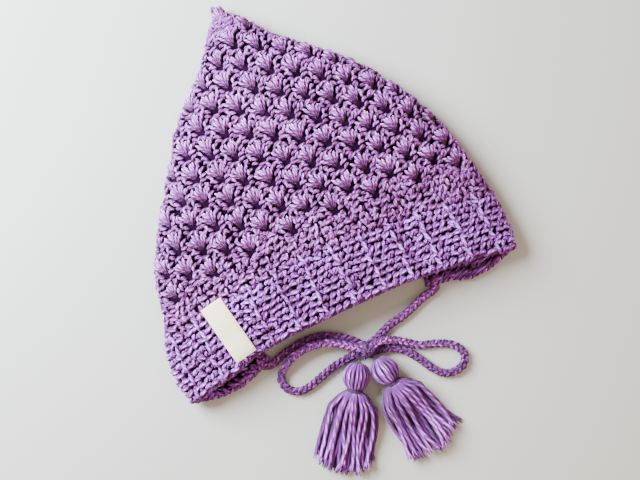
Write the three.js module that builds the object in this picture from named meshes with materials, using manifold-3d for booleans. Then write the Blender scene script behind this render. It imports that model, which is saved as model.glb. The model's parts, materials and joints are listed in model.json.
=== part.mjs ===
// Crocheted pixie hood, lying flattened on its face side with its ties in a bow.
// Millimetres. +X runs along the band, +Y toward the peak, +Z up from the surface.
// While it is built, x counts from the widest point of the left fold and y from
// the lowest point of the mouth. The last lines move the origin under its middle.

import * as THREE from 'three';
import { mergeVertices } from 'three/addons/utils/BufferGeometryUtils.js';
import Module from 'manifold-3d';

const wasm = await Module();
wasm.setup();

// Hood, laid flat
const HOOD_WIDTH = 238;      // across the two side folds
const HOOD_LENGTH = 228;     // lowest point of the mouth to the peak
const HOOD_LOFT = 30;        // height of the fullest row above the surface
const WALL = 5;              // crocheted fabric
const FOLD_LINE = 9;         // height at which a side fold reaches furthest out
const FOLD_SPAN = 10;        // width over which the lower layer rolls up into a fold
const ARCH_POWER = 2.4;      // squareness of the upper layer's arch
const EDGE_ROUND = 1.2;      // how far an edge of the fabric thins toward its middle
const PIECE_GAP = 0.3;       // clearance between neighbouring pieces

// Ribbed band and label
const BAND_DEPTH = 39;       // mouth of the upper layer to the crown, at the peak of the seam
const SEAM_PEAK = 0.45;      // share of the width at which the seam is highest
const SEAM_DROP = 14;        // fall of the seam half a width away from its peak
const RIB_PITCH = 20;
const RIB_FIRST = 26;        // first rib that shows, from the left fold
const RIB_RISE = 1.8;
const LABEL_LENGTH = 40;
const LABEL_WIDTH = 15;
const LABEL_THICKNESS = 1;
const LABEL_RIB = 1;         // the label lies over this rib, counted from the first
const LABEL_ABOVE_EDGE = 24; // mouth of the upper layer to the label's centre
const LABEL_TILT = 8.4;      // degrees from the rib

// Face opening, cut through the lower layer between the ties
const TIE_SPACING = 126;
const TIE_INSET = 1.4;       // fabric left between a tie and the opening
const FACE_RISE = 100;       // mouth of the lower layer to the top of the opening
const FACE_CENTRE = 0.485;   // share of the hood's width

// Ties, bow and tassels
const CORD = 5.2;
const CORD_SIDES = 8;
const KNOT_WIDTH = 12.8;
const KNOT_DEPTH = 14.8;
const KNOT_WRAP = 4.4;       // thickness of the turn around the knot
const BALL = 18.2;           // tassel head
const NECK = 10;             // tassel neck, diameter
const NECK_WRAP = 1.7;       // thickness of the yarn wound round the neck
const NECK_WRAP_WIDTH = 2.4;
const SKIRT_LENGTH = 51;
const SKIRT_SPREAD = 42;     // width of a skirt across its ends
const LOCK = 6;              // a lock of yarn, diameter

// Outline of the hood. up: share of HOOD_LENGTH. left, right: shares of HOOD_WIDTH.
// loft: share of HOOD_LOFT.
const OUTLINE = [
  { up: 0.000, left: 0.034, right: 0.965, loft: 0.72 },
  { up: 0.024, left: 0.020, right: 0.983, loft: 0.73 },
  { up: 0.050, left: 0.009, right: 0.991, loft: 0.74 },
  { up: 0.102, left: 0.000, right: 0.998, loft: 0.78 },
  { up: 0.180, left: 0.004, right: 0.997, loft: 0.86 },
  { up: 0.234, left: 0.020, right: 0.992, loft: 0.90 },
  { up: 0.290, left: 0.045, right: 0.984, loft: 0.95 },
  { up: 0.390, left: 0.066, right: 0.965, loft: 1.00 },
  { up: 0.470, left: 0.108, right: 0.943, loft: 1.00 },
  { up: 0.550, left: 0.154, right: 0.912, loft: 0.98 },
  { up: 0.655, left: 0.231, right: 0.853, loft: 0.93 },
  { up: 0.760, left: 0.304, right: 0.775, loft: 0.85 },
  { up: 0.864, left: 0.417, right: 0.666, loft: 0.72 },
  { up: 0.917, left: 0.465, right: 0.627, loft: 0.64 },
  { up: 0.969, left: 0.499, right: 0.592, loft: 0.53 },
  { up: 0.992, left: 0.518, right: 0.570, loft: 0.44 },
  { up: 1.000, left: 0.532, right: 0.556, loft: 0.38 },
];

// Mouth of the hood. across: share of the width there. upper, lower: shares of
// HOOD_LENGTH at which each layer's edge lies.
const MOUTH = [
  { across: 0.00, upper: 0.030, lower: 0.030 },
  { across: 0.05, upper: 0.040, lower: 0.018 },
  { across: 0.10, upper: 0.053, lower: 0.018 },
  { across: 0.16, upper: 0.063, lower: 0.030 },
  { across: 0.23, upper: 0.083, lower: 0.058 },
  { across: 0.33, upper: 0.088, lower: 0.062 },
  { across: 0.50, upper: 0.086, lower: 0.062 },
  { across: 0.66, upper: 0.080, lower: 0.055 },
  { across: 0.76, upper: 0.066, lower: 0.037 },
  { across: 0.84, upper: 0.056, lower: 0.020 },
  { across: 0.90, upper: 0.046, lower: 0.002 },
  { across: 0.95, upper: 0.028, lower: 0.003 },
  { across: 1.00, upper: 0.018, lower: 0.018 },
];

// Dents in the upper layer. across, reachAcross: shares of the width. up, reachUp:
// shares of HOOD_LENGTH. depth: share of HOOD_LOFT.
const DENTS = [
  { across: 0.750, reachAcross: 0.035, up: 0.20, reachUp: 0.12, depth: 0.13 },
  { across: 0.880, reachAcross: 0.100, up: 0.29, reachUp: 0.03, depth: 0.09 },
  { across: 0.420, reachAcross: 0.060, up: 0.36, reachUp: 0.10, depth: 0.05 },
  { across: 0.200, reachAcross: 0.050, up: 0.40, reachUp: 0.16, depth: 0.06 },
];

// Rows of the band and of the crown: shares of the way up each piece.
const BAND_ROWS = [0, 0.04, 0.35, 0.65, 0.96, 1];
const CROWN_ROWS = [0, 0.01, 0.06, 0.12, 0.19, 0.27, 0.35, 0.43, 0.51, 0.59, 0.67, 0.75, 0.82,
  0.88, 0.925, 0.96, 0.985, 1];
const FOLD_SHARES = [0.004, 0.015, 0.040]; // stations beside a fold, shares of the width
const ROLL_ANGLES = [30, 60, 90];          // stations on the roll under a fold, degrees

// Centre lines of the cords as chosen points x, y, z. Each tie starts at its place on
// the lower layer's edge, and every strand ends inside the knot, which trims it.
const KNOT_AT = [118.9, -10.7, 7.2];
const TIE_LEFT_ROUTE = [
  [54.2, 9.4, 2.7], [59.6, 8.2, 2.7], [68.4, 10.6, 2.7], [77.0, 11.6, 2.7], [85.4, 11.9, 2.7],
  [93.4, 10.8, 2.7], [100.6, 8.0, 2.7], [108.8, 2.4, 2.7], [115.0, -4.0, 2.9], [118.0, -8.6, 4.2],
];
const TIE_RIGHT_ROUTE = [
  [176.4, 5.0, 2.7], [168.0, 3.4, 2.7], [158.3, 0.6, 2.7], [148.6, -1.9, 2.7], [139.0, -3.2, 2.7],
  [130.4, -6.0, 2.8], [121.8, -8.4, 3.2],
];
const LOOP_LEFT_ROUTE = [
  [117.6, -9.8, 8.4], [112.6, -6.2, 8.4], [107.1, -1.4, 8.3], [98.9, 4.2, 8.0], [91.8, 6.8, 7.9],
  [83.8, 7.8, 7.9], [75.6, 7.2, 7.7], [67.8, 4.2, 6.2], [62.0, 0.0, 3.6], [59.6, -5.4, 2.7],
  [61.6, -11.6, 2.7], [66.6, -15.4, 2.7], [74.0, -15.9, 2.7], [82.4, -14.0, 2.7],
  [91.6, -11.8, 2.7], [100.4, -10.6, 2.9], [108.6, -10.4, 3.6], [116.2, -10.6, 5.2],
];
const LOOP_RIGHT_ROUTE = [
  [119.8, -10.4, 8.4], [126.7, -9.6, 8.3], [133.1, -10.6, 7.2], [139.0, -14.2, 4.6],
  [144.6, -18.8, 2.9], [150.4, -23.6, 2.7], [158.0, -26.4, 2.7], [165.4, -29.6, 2.7],
  [171.6, -34.6, 2.7], [174.2, -41.4, 2.7], [170.8, -47.2, 2.7], [163.6, -49.0, 2.7],
  [156.8, -46.8, 2.7], [151.4, -40.6, 2.7], [147.6, -33.2, 2.7], [143.0, -25.6, 2.7],
  [137.0, -19.4, 2.8], [129.6, -15.4, 3.4], [122.4, -13.8, 4.4],
];

// Tassels. x, y: centre of the head. heading: degrees from +X of the way that the
// skirt points.
const TASSELS = {
  left: { x: 104.7, y: -23.0, heading: 235.5 },
  right: { x: 122.9, y: -27.5, heading: 278.0 },
};

// Locks of a skirt. fan: share of half the spread. length: share of SKIRT_LENGTH.
// lift: height of its free end above the surface, in lock diameters.
const LOCKS = [
  { fan: -0.92, length: 0.93, lift: 0.0 },
  { fan: -0.56, length: 0.99, lift: 0.0 },
  { fan: -0.19, length: 0.97, lift: 0.0 },
  { fan: 0.19, length: 1.00, lift: 0.0 },
  { fan: 0.56, length: 0.96, lift: 0.0 },
  { fan: 0.92, length: 0.94, lift: 0.0 },
  { fan: -0.72, length: 0.90, lift: 0.6 },
  { fan: -0.37, length: 0.95, lift: 0.7 },
  { fan: 0.00, length: 0.92, lift: 0.7 },
  { fan: 0.37, length: 0.96, lift: 0.7 },
  { fan: 0.72, length: 0.91, lift: 0.6 },
];

// Value of one column of a table at a share of another, along a smooth curve.
function column(table, key, name, share) {
  const last = table.length - 1;
  let i = 0;
  while (i < last - 1 && table[i + 1][key] < share) i += 1;
  const slope = (k) => {
    const low = table[Math.max(k - 1, 0)];
    const high = table[Math.min(k + 1, last)];
    return (high[name] - low[name]) / (high[key] - low[key]);
  };
  const a = table[i];
  const b = table[i + 1];
  const span = b[key] - a[key];
  const t = THREE.MathUtils.clamp((share - a[key]) / span, 0, 1);
  const t2 = t * t;
  const t3 = t2 * t;
  return (2 * t3 - 3 * t2 + 1) * a[name] + (t3 - 2 * t2 + t) * span * slope(i)
    + (3 * t2 - 2 * t3) * b[name] + (t3 - t2) * span * slope(i + 1);
}

const outline = (name, y) => column(OUTLINE, 'up', name, y / HOOD_LENGTH);
const mouth = (name, across) => HOOD_LENGTH * column(MOUTH, 'across', name, across);

// The seam between band and crown, a shallow arch that is highest left of the middle.
function seamY(across) {
  return mouth('upper', SEAM_PEAK) + BAND_DEPTH - SEAM_DROP * (2 * (across - SEAM_PEAK)) ** 2;
}

// The section of the hood at y, shrunk by an inset of the fabric's thickness.
function section(y, inset) {
  const step = HOOD_LENGTH / 100;
  const edge = (name) => HOOD_WIDTH * outline(name, y);
  const lean = (name) => HOOD_WIDTH * (outline(name, y + step) - outline(name, y - step)) / (2 * step);
  const top = HOOD_LOFT * outline('loft', y);
  return {
    left: edge('left') + inset * Math.hypot(1, lean('left')),
    right: edge('right') - inset * Math.hypot(1, lean('right')),
    low: inset,
    fold: Math.min(FOLD_LINE, top / 2),
    top: top - inset,
  };
}

// How far the upper layer sags below its arch.
function sag(across, y) {
  let depth = 0;
  for (const dent of DENTS) {
    const a = (across - dent.across) / dent.reachAcross;
    const b = (y / HOOD_LENGTH - dent.up) / dent.reachUp;
    depth += HOOD_LOFT * dent.depth * Math.exp(-a * a - b * b);
  }
  return depth * Math.sqrt(Math.max(0, 1 - Math.abs(2 * across - 1) ** 4));
}

// A point of the upper layer, at a station's share of the width or fixed x.
function upperPoint(cut, station, y, ribs) {
  const across = station.across ?? (station.x - cut.left) / (cut.right - cut.left);
  const arch = Math.max(0, 1 - Math.abs(2 * across - 1) ** ARCH_POWER) ** (1 / ARCH_POWER);
  const x = THREE.MathUtils.lerp(cut.left, cut.right, across);
  const rise = (cut.top - cut.fold - sag(across, y)) * arch + ribs * (station.rise ?? 0);
  return new THREE.Vector3(x, y, cut.fold + rise);
}

// A point of the lower layer: on the roll under a fold, or flat between the rolls.
function lowerPoint(cut, station, y, ribs) {
  const span = Math.min(FOLD_SPAN, 0.4 * (cut.right - cut.left));
  if (station.roll !== undefined) {
    const angle = THREE.MathUtils.degToRad(station.roll);
    const inward = span * (1 - Math.cos(angle));
    const x = station.side < 0 ? cut.left + inward : cut.right - inward;
    return new THREE.Vector3(x, y, cut.fold - (cut.fold - cut.low) * Math.sin(angle));
  }
  const x = THREE.MathUtils.lerp(cut.left + span, cut.right - span, station.run);
  return new THREE.Vector3(x, y, cut.low + 0.5 * ribs * (1 - station.rise));
}

// Stations round a ring, from the left fold over the upper layer to the right fold
// and back under. places: stations of the upper layer between the folds' own, each
// across the width there or at a fixed x. runs: stations on the flat of the lower
// layer. rise: share of a rib's height at a station.
function stationsRound(places, runs) {
  const upper = [
    { across: 0 },
    ...FOLD_SHARES.map((across) => ({ across })),
    ...places,
    ...FOLD_SHARES.map((share) => ({ across: 1 - share })).reverse(),
    { across: 1 },
  ];
  const rollOf = (side) => ROLL_ANGLES.map((roll) => ({ roll, side }));
  const flat = runs.map((place) => ({ ...place })).reverse();
  return [...upper, ...rollOf(1), ...flat, ...rollOf(-1).reverse()];
}

function crownStations() {
  const count = 22;
  const places = [];
  const runs = [];
  for (let i = 0; i < count; i += 1) {
    places.push({ across: THREE.MathUtils.lerp(0.08, 0.92, i / (count - 1)) });
  }
  for (let i = 1; i < count / 2; i += 1) runs.push({ run: i / (count / 2), rise: 1 });
  return stationsRound(places, runs);
}

// Four stations a rib: its two feet, its crest and the middle of the valley.
function bandStations() {
  const feet = [[-0.2, 0], [0, 1], [0.2, 0], [0.5, 0]];
  const places = [];
  const runs = [];
  for (let rib = RIB_FIRST; rib < HOOD_WIDTH - 0.4 * RIB_PITCH; rib += RIB_PITCH) {
    for (const [place, rise] of feet) {
      const x = rib + place * RIB_PITCH;
      const run = (x - FOLD_SPAN) / (HOOD_WIDTH - 2 * FOLD_SPAN);
      if (x > 0.07 * HOOD_WIDTH && x < 0.93 * HOOD_WIDTH) places.push({ x, rise });
      if (run > 0.02 && run < 0.98) runs.push({ run, rise });
    }
  }
  return stationsRound(places, runs);
}

// A ring of points along one row. yOf(across, upper) gives the row's y at a share of
// the width, between the lower layer (upper = 0) and the upper one (upper = 1). inset
// is the depth below the outer surface and ribs the ribs' height. As y depends on x
// and the outline's x on y, a few passes settle the two.
function ring(stations, yOf, inset, ribs) {
  return stations.map((station) => {
    const onLower = station.roll !== undefined || station.run !== undefined;
    const upper = onLower ? Math.cos(THREE.MathUtils.degToRad(station.roll ?? 90)) : 1;
    const pointOn = onLower ? lowerPoint : upperPoint;
    let y = yOf(0.5, upper);
    for (let pass = 0; pass < 6; pass += 1) {
      const whole = section(y, 0);
      const { x } = pointOn(section(y, inset), station, y, ribs);
      y = yOf((x - whole.left) / (whole.right - whole.left), upper);
    }
    return pointOn(section(y, inset), station, y, ribs);
  });
}

// Joins rings of equal counts into one closed skin. A looped skin returns to its first
// ring, and any other is closed by a fan at each end.
function skin(rings, looped) {
  const positions = [];
  const quad = (a, b, c, d) => {
    for (const p of [a, b, c, a, c, d]) positions.push(p.x, p.y, p.z);
  };
  const count = rings[0].length;
  const lastRing = looped ? rings.length : rings.length - 1;
  for (let i = 0; i < lastRing; i += 1) {
    const here = rings[i];
    const next = rings[(i + 1) % rings.length];
    for (let k = 0; k < count; k += 1) {
      const m = (k + 1) % count;
      quad(here[k], here[m], next[m], next[k]);
    }
  }
  if (!looped) {
    for (const [end, turned] of [[rings[0], false], [rings[rings.length - 1], true]]) {
      const middle = new THREE.Vector3();
      for (const p of end) middle.addScaledVector(p, 1 / count);
      for (let k = 0; k < count; k += 1) {
        const [a, b] = turned ? [end[k], end[(k + 1) % count]] : [end[(k + 1) % count], end[k]];
        for (const p of [middle, a, b]) positions.push(p.x, p.y, p.z);
      }
    }
  }
  const geometry = new THREE.BufferGeometry();
  geometry.setAttribute('position', new THREE.Float32BufferAttribute(positions, 3));
  return mergeVertices(geometry, 1e-4);
}

// Solids for cutting and joining, and back to geometry.
function toSolid(geometry) {
  const bare = geometry.clone();
  bare.deleteAttribute('normal');
  bare.deleteAttribute('uv');
  const merged = mergeVertices(bare, 1e-4);
  return new wasm.Manifold(new wasm.Mesh({
    numProp: 3,
    vertProperties: new Float32Array(merged.attributes.position.array),
    triVerts: new Uint32Array(merged.index.array),
  }));
}

function toGeometry(solid) {
  const mesh = solid.getMesh();
  const geometry = new THREE.BufferGeometry();
  geometry.setAttribute('position', new THREE.Float32BufferAttribute(mesh.vertProperties, 3));
  geometry.setIndex(new THREE.Uint32BufferAttribute(mesh.triVerts, 1));
  geometry.computeVertexNormals();
  return geometry;
}

// The arched prism that opens the lower layer for the face.
function faceCut() {
  const half = TIE_SPACING / 2 - CORD / 2 - TIE_INSET;
  const middle = FACE_CENTRE * HOOD_WIDTH;
  const base = mouth('lower', FACE_CENTRE);
  const arch = new THREE.Shape();
  const spring = base + FACE_RISE - half;
  arch.moveTo(middle - half, base - HOOD_LENGTH / 4);
  arch.lineTo(middle + half, base - HOOD_LENGTH / 4);
  arch.lineTo(middle + half, spring);
  arch.absarc(middle, spring, half, 0, Math.PI, false);
  arch.closePath();
  const height = HOOD_LOFT / 4 + WALL / 2;
  const prism = new THREE.ExtrudeGeometry(arch, { depth: height, bevelEnabled: false, curveSegments: 12 });
  prism.translate(0, 0, WALL + PIECE_GAP - height);
  return toSolid(prism);
}

// A prism over the lower layer's fabric, grown past its edge by the gap. It trims
// the ties where they meet that edge.
function edgeCut() {
  const shape = new THREE.Shape();
  const steps = 60;
  for (let i = 0; i <= steps; i += 1) {
    const across = THREE.MathUtils.lerp(0.05, 0.95, i / steps);
    const y = mouth('lower', across);
    const cut = section(y, 0);
    const x = THREE.MathUtils.lerp(cut.left, cut.right, across);
    if (i === 0) shape.moveTo(x, y + HOOD_LENGTH / 4);
    shape.lineTo(x, y - PIECE_GAP);
    if (i === steps) shape.lineTo(x, y + HOOD_LENGTH / 4);
  }
  shape.closePath();
  const prism = new THREE.ExtrudeGeometry(shape, { depth: 3 * CORD, bevelEnabled: false });
  return toSolid(prism.translate(0, 0, -CORD));
}

function crownGeometry() {
  const stations = crownStations();
  const innerTop = HOOD_LENGTH - 1.4 * WALL;
  const rowY = (share, end) => (across) => {
    const start = seamY(across) + PIECE_GAP / 2;
    return THREE.MathUtils.lerp(start, end, share);
  };
  const outer = CROWN_ROWS.map((share, i) => (
    ring(stations, rowY(share, HOOD_LENGTH), i === 0 ? EDGE_ROUND : 0, 0)));
  const inner = CROWN_ROWS.slice(0, -2).map((share, i) => (
    ring(stations, rowY(share, innerTop), WALL - (i === 0 ? EDGE_ROUND : 0), 0)));
  return toGeometry(toSolid(skin([...inner.reverse(), ...outer], false)).subtract(faceCut()));
}

function bandGeometry() {
  const stations = bandStations();
  const rowY = (share) => (across, upper) => {
    const edge = THREE.MathUtils.lerp(mouth('lower', across), mouth('upper', across), upper);
    return THREE.MathUtils.lerp(edge, seamY(across) - PIECE_GAP / 2, share);
  };
  const thin = (share) => (share === 0 || share === 1 ? EDGE_ROUND : 0);
  const outer = BAND_ROWS.map((share) => ring(stations, rowY(share), thin(share), RIB_RISE));
  const inner = BAND_ROWS.map((share) => ring(stations, rowY(share), WALL - thin(share), 0));
  return toGeometry(toSolid(skin([...inner.reverse(), ...outer], true)).subtract(faceCut()));
}

// A thin plate that follows the band's arch and bows over the rib beneath it.
function labelGeometry() {
  const columns = 6;
  const rows = 10;
  const tilt = THREE.MathUtils.degToRad(LABEL_TILT);
  const ribX = RIB_FIRST + LABEL_RIB * RIB_PITCH;
  const centreY = mouth('upper', ribX / HOOD_WIDTH) + LABEL_ABOVE_EDGE;
  const bow = 1.3 * RIB_RISE;
  const sheet = (offset) => {
    const grid = [];
    for (let j = 0; j <= rows; j += 1) {
      for (let i = 0; i <= columns; i += 1) {
        const s = (i / columns - 0.5) * LABEL_WIDTH;
        const t = (j / rows - 0.5) * LABEL_LENGTH;
        const x = ribX + s * Math.cos(tilt) - t * Math.sin(tilt);
        const y = centreY + s * Math.sin(tilt) + t * Math.cos(tilt);
        const cut = section(y, 0);
        const point = upperPoint(cut, { x }, y, 0);
        point.z += PIECE_GAP + bow * (1 - (2 * i / columns - 1) ** 2) + offset;
        grid.push(point);
      }
    }
    return grid;
  };
  const under = sheet(0);
  const over = sheet(LABEL_THICKNESS);
  const positions = [];
  const face = (...corners) => {
    for (const p of corners) positions.push(p.x, p.y, p.z);
  };
  const at = (i, j) => j * (columns + 1) + i;
  for (let j = 0; j < rows; j += 1) {
    for (let i = 0; i < columns; i += 1) {
      const [a, b, c, d] = [at(i, j), at(i + 1, j), at(i + 1, j + 1), at(i, j + 1)];
      face(over[a], over[b], over[c], over[a], over[c], over[d]);
      face(under[a], under[c], under[b], under[a], under[d], under[c]);
    }
  }
  const wall = (p, q) => face(under[p], under[q], over[q], under[p], over[q], over[p]);
  for (let i = 0; i < columns; i += 1) {
    wall(at(i, 0), at(i + 1, 0));
    wall(at(i + 1, rows), at(i, rows));
  }
  for (let j = 0; j < rows; j += 1) {
    wall(at(0, j + 1), at(0, j));
    wall(at(columns, j), at(columns, j + 1));
  }
  const geometry = new THREE.BufferGeometry();
  geometry.setAttribute('position', new THREE.Float32BufferAttribute(positions, 3));
  const plate = mergeVertices(geometry, 1e-4);
  plate.computeVertexNormals();
  return plate;
}

// A round cord along a smooth curve through the points.
function tube(points, diameter, sides, steps) {
  const path = new THREE.CatmullRomCurve3(points.map((p) => new THREE.Vector3(...p)), false, 'centripetal');
  const round = new THREE.Shape();
  for (let k = 0; k < sides; k += 1) {
    const angle = (2 * Math.PI * k) / sides;
    const x = 0.5 * diameter * Math.cos(angle);
    const y = 0.5 * diameter * Math.sin(angle);
    if (k === 0) round.moveTo(x, y);
    else round.lineTo(x, y);
  }
  round.closePath();
  return new THREE.ExtrudeGeometry(round, { steps, extrudePath: path, bevelEnabled: false });
}

function ellipsoid(rx, ry, rz, around, rows) {
  return new THREE.SphereGeometry(1, around, rows).rotateX(Math.PI / 2).scale(rx, ry, rz);
}

// The knot's body and the turn around it, grown by a clearance.
function knotBody(grow) {
  const height = KNOT_AT[2];
  const body = ellipsoid(KNOT_WIDTH / 2 + grow, KNOT_DEPTH / 2 + grow, height - 0.8 + grow, 12, 8);
  const turnRadius = height - 0.1 - KNOT_WRAP / 2;
  const turn = new THREE.TorusGeometry(turnRadius, KNOT_WRAP / 2 + grow, 8, 14).rotateY(Math.PI / 2);
  return toSolid(body.translate(...KNOT_AT)).add(toSolid(turn.translate(...KNOT_AT)));
}

const ballAt = (side) => [TASSELS[side].x, TASSELS[side].y, BALL / 2 + 0.05];

function headBody(side, grow) {
  const radius = BALL / 2 + grow;
  return toSolid(ellipsoid(radius, radius, radius, 14, 8).translate(...ballAt(side)));
}

// The knot with a short stub of cord to each tassel's head.
function knotGeometry() {
  let knot = knotBody(0);
  for (const side of ['left', 'right']) {
    knot = knot.add(toSolid(tube([KNOT_AT, ballAt(side)], CORD, CORD_SIDES, 2)));
  }
  for (const side of ['left', 'right']) knot = knot.subtract(headBody(side, PIECE_GAP));
  return toGeometry(knot);
}

// A strand of the bow, trimmed where it enters the knot.
function strandGeometry(route, steps) {
  return toGeometry(toSolid(tube(route, CORD, CORD_SIDES, steps)).subtract(knotBody(PIECE_GAP)));
}

// A tie butts against the lower layer's edge beside the face opening.
function tieGeometry(side, route, steps) {
  const x = FACE_CENTRE * HOOD_WIDTH + (side * TIE_SPACING) / 2;
  const start = [x, mouth('lower', x / HOOD_WIDTH) + CORD / 2, CORD / 2 + 0.1];
  const tie = strandGeometry([start, ...route], steps);
  return toGeometry(toSolid(tie).subtract(edgeCut()));
}

// Head, neck and locks of one tassel as a single body, built along +X and then turned
// to its heading.
function tasselGeometry(side) {
  const reach = BALL / 2 + NECK_WRAP_WIDTH;
  const neck = new THREE.CylinderGeometry(NECK / 2, NECK / 2, reach, 12).rotateZ(Math.PI / 2);
  let tassel = toSolid(ellipsoid(BALL / 2, BALL / 2, BALL / 2, 14, 8))
    .add(toSolid(neck.translate(reach / 2, 0, 0)));
  const drop = BALL / 2 - LOCK / 2 - 0.2;
  for (const lock of LOCKS) {
    const end = lock.length * SKIRT_LENGTH;
    const side2 = 0.5 * (SKIRT_SPREAD - LOCK) * lock.fan;
    const root = (0.5 * (NECK - LOCK) - 0.1) * lock.fan;
    const raise = lock.lift * LOCK;
    const path = [
      [reach - 0.15 * LOCK, root, lock.lift > 0 ? 1.2 : -1.2],
      [reach + 0.16 * end, 0.30 * side2, -0.62 * drop + 0.9 * raise],
      [reach + 0.42 * end, 0.66 * side2, -drop + raise],
      [reach + 0.72 * end, 0.90 * side2, -drop + raise],
      [reach + end, side2, -drop + raise],
    ];
    tassel = tassel.add(toSolid(tube(path, LOCK, 7, 5)));
  }
  const geometry = toGeometry(tassel);
  geometry.rotateZ(THREE.MathUtils.degToRad(TASSELS[side].heading));
  return geometry.translate(...ballAt(side));
}

// The yarn wound round a tassel's neck.
function neckWrapGeometry(side) {
  const inner = NECK / 2 + 1.5 * PIECE_GAP;
  const start = Math.sqrt((BALL / 2) ** 2 - inner ** 2) + PIECE_GAP;
  const profile = [
    [inner, 0], [inner + NECK_WRAP, 0.25], [inner + NECK_WRAP, 0.75], [inner, 1],
  ].map(([radius, share]) => new THREE.Vector2(radius, share * NECK_WRAP_WIDTH));
  profile.push(profile[0].clone());
  const wrap = new THREE.LatheGeometry(profile, 14).rotateZ(-Math.PI / 2).translate(start, 0, 0);
  wrap.rotateZ(THREE.MathUtils.degToRad(TASSELS[side].heading));
  return toGeometry(toSolid(wrap.translate(...ballAt(side))));
}

const YARN = new THREE.Color(0.42, 0.24, 0.52);
const PALE_YARN = new THREE.Color(0.47, 0.31, 0.60);
const DARK_YARN = new THREE.Color(0.24, 0.12, 0.33);
const CREAM = new THREE.Color(0.85, 0.83, 0.70);

function piece(name, geometry, color) {
  const mesh = new THREE.Mesh(geometry, new THREE.MeshStandardMaterial({ color, roughness: 0.95, metalness: 0 }));
  mesh.name = name;
  return mesh;
}

const hood = new THREE.Group();
hood.add(piece('crown', crownGeometry(), YARN));
hood.add(piece('band', bandGeometry(), YARN));
hood.add(piece('label', labelGeometry(), CREAM));
const body = new THREE.Box3().setFromObject(hood);

hood.add(piece('tie_left', tieGeometry(-1, TIE_LEFT_ROUTE, 14), YARN));
hood.add(piece('tie_right', tieGeometry(1, TIE_RIGHT_ROUTE, 10), YARN));
hood.add(piece('loop_left', strandGeometry(LOOP_LEFT_ROUTE, 28), YARN));
hood.add(piece('loop_right', strandGeometry(LOOP_RIGHT_ROUTE, 26), YARN));
hood.add(piece('bow_knot', knotGeometry(), YARN));
for (const side of ['left', 'right']) {
  hood.add(piece(`tassel_${side}`, tasselGeometry(side), PALE_YARN));
  hood.add(piece(`tassel_${side}_wrap`, neckWrapGeometry(side), DARK_YARN));
}

hood.position.set(-(body.min.x + body.max.x) / 2, -(body.min.y + body.max.y) / 2, -body.min.z);

export default hood;
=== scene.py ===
import json
import math

import bmesh
import bpy
import numpy as np
from bpy.props import FloatProperty, FloatVectorProperty, IntProperty, PointerProperty
from mathutils import Matrix, Vector
from mathutils.bvhtree import BVHTree

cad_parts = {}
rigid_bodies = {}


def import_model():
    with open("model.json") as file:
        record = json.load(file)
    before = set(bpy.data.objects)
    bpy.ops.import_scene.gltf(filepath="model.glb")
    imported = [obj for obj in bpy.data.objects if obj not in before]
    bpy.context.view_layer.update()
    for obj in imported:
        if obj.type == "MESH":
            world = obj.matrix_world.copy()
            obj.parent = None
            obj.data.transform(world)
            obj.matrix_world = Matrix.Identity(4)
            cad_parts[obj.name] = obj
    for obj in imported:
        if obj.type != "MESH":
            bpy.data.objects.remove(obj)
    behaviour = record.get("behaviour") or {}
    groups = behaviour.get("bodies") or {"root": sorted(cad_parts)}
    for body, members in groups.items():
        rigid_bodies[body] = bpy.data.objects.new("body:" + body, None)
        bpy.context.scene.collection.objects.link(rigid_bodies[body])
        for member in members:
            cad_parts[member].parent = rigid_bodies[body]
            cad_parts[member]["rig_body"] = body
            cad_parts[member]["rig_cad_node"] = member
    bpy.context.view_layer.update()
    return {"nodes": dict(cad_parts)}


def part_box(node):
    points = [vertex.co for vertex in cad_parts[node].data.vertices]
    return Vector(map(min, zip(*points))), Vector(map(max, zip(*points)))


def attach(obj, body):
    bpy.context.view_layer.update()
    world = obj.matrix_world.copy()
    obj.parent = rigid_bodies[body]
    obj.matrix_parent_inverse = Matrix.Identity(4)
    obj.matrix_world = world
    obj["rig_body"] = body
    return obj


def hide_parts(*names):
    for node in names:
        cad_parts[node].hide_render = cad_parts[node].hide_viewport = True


bl_info = {
    "name": "Crocheted Pixie Hood",
    "version": (1, 0, 0),
    "blender": (4, 5, 0),
    "location": "3D View > Sidebar > Pixie Hood",
    "description": "Dresses a crocheted pixie hood with stitches, cords, tassels and a cloth label",
    "category": "Object",
}

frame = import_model()

MM = 0.001

# The build's own drawing starts at the left fold and the lowest point of the mouth,
# and the cords' points are given in it, in millimetres.
DRAWN_AT = np.array([118.8, 114.1, 0.0])

# The bow's knot, and the ties and loops of cord that run to it.
KNOT_AT = (118.9, -10.7, 7.2)
TIE_LEFT = [
    (52.4, 15.4, 2.7), (54.2, 9.4, 2.7), (59.6, 8.2, 2.7), (68.4, 10.6, 2.7), (77, 11.6, 2.7),
    (85.4, 11.9, 2.7), (93.4, 10.8, 2.7), (100.6, 8, 2.7), (108.8, 2.4, 2.7), (115, -4, 2.9),
    (118, -8.6, 4.2),
]
TIE_RIGHT = [
    (178.4, 11.2, 2.7), (176.4, 5, 2.7), (168, 3.4, 2.7), (158.3, 0.6, 2.7), (148.6, -1.9, 2.7),
    (139, -3.2, 2.7), (130.4, -6, 2.8), (121.8, -8.4, 3.2),
]
LOOP_LEFT = [
    (117.6, -9.8, 8.4), (112.6, -6.2, 8.4), (107.1, -1.4, 8.3), (98.9, 4.2, 8), (91.8, 6.8, 7.9),
    (83.8, 7.8, 7.9), (75.6, 7.2, 7.7), (67.8, 4.2, 6.2), (62, 0, 3.6), (59.6, -5.4, 2.7),
    (61.6, -11.6, 2.7), (66.6, -15.4, 2.7), (74, -15.9, 2.7), (82.4, -14, 2.7),
    (91.6, -11.8, 2.7), (100.4, -10.6, 2.9), (108.6, -10.4, 3.6), (116.2, -10.6, 5.2),
]
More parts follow.
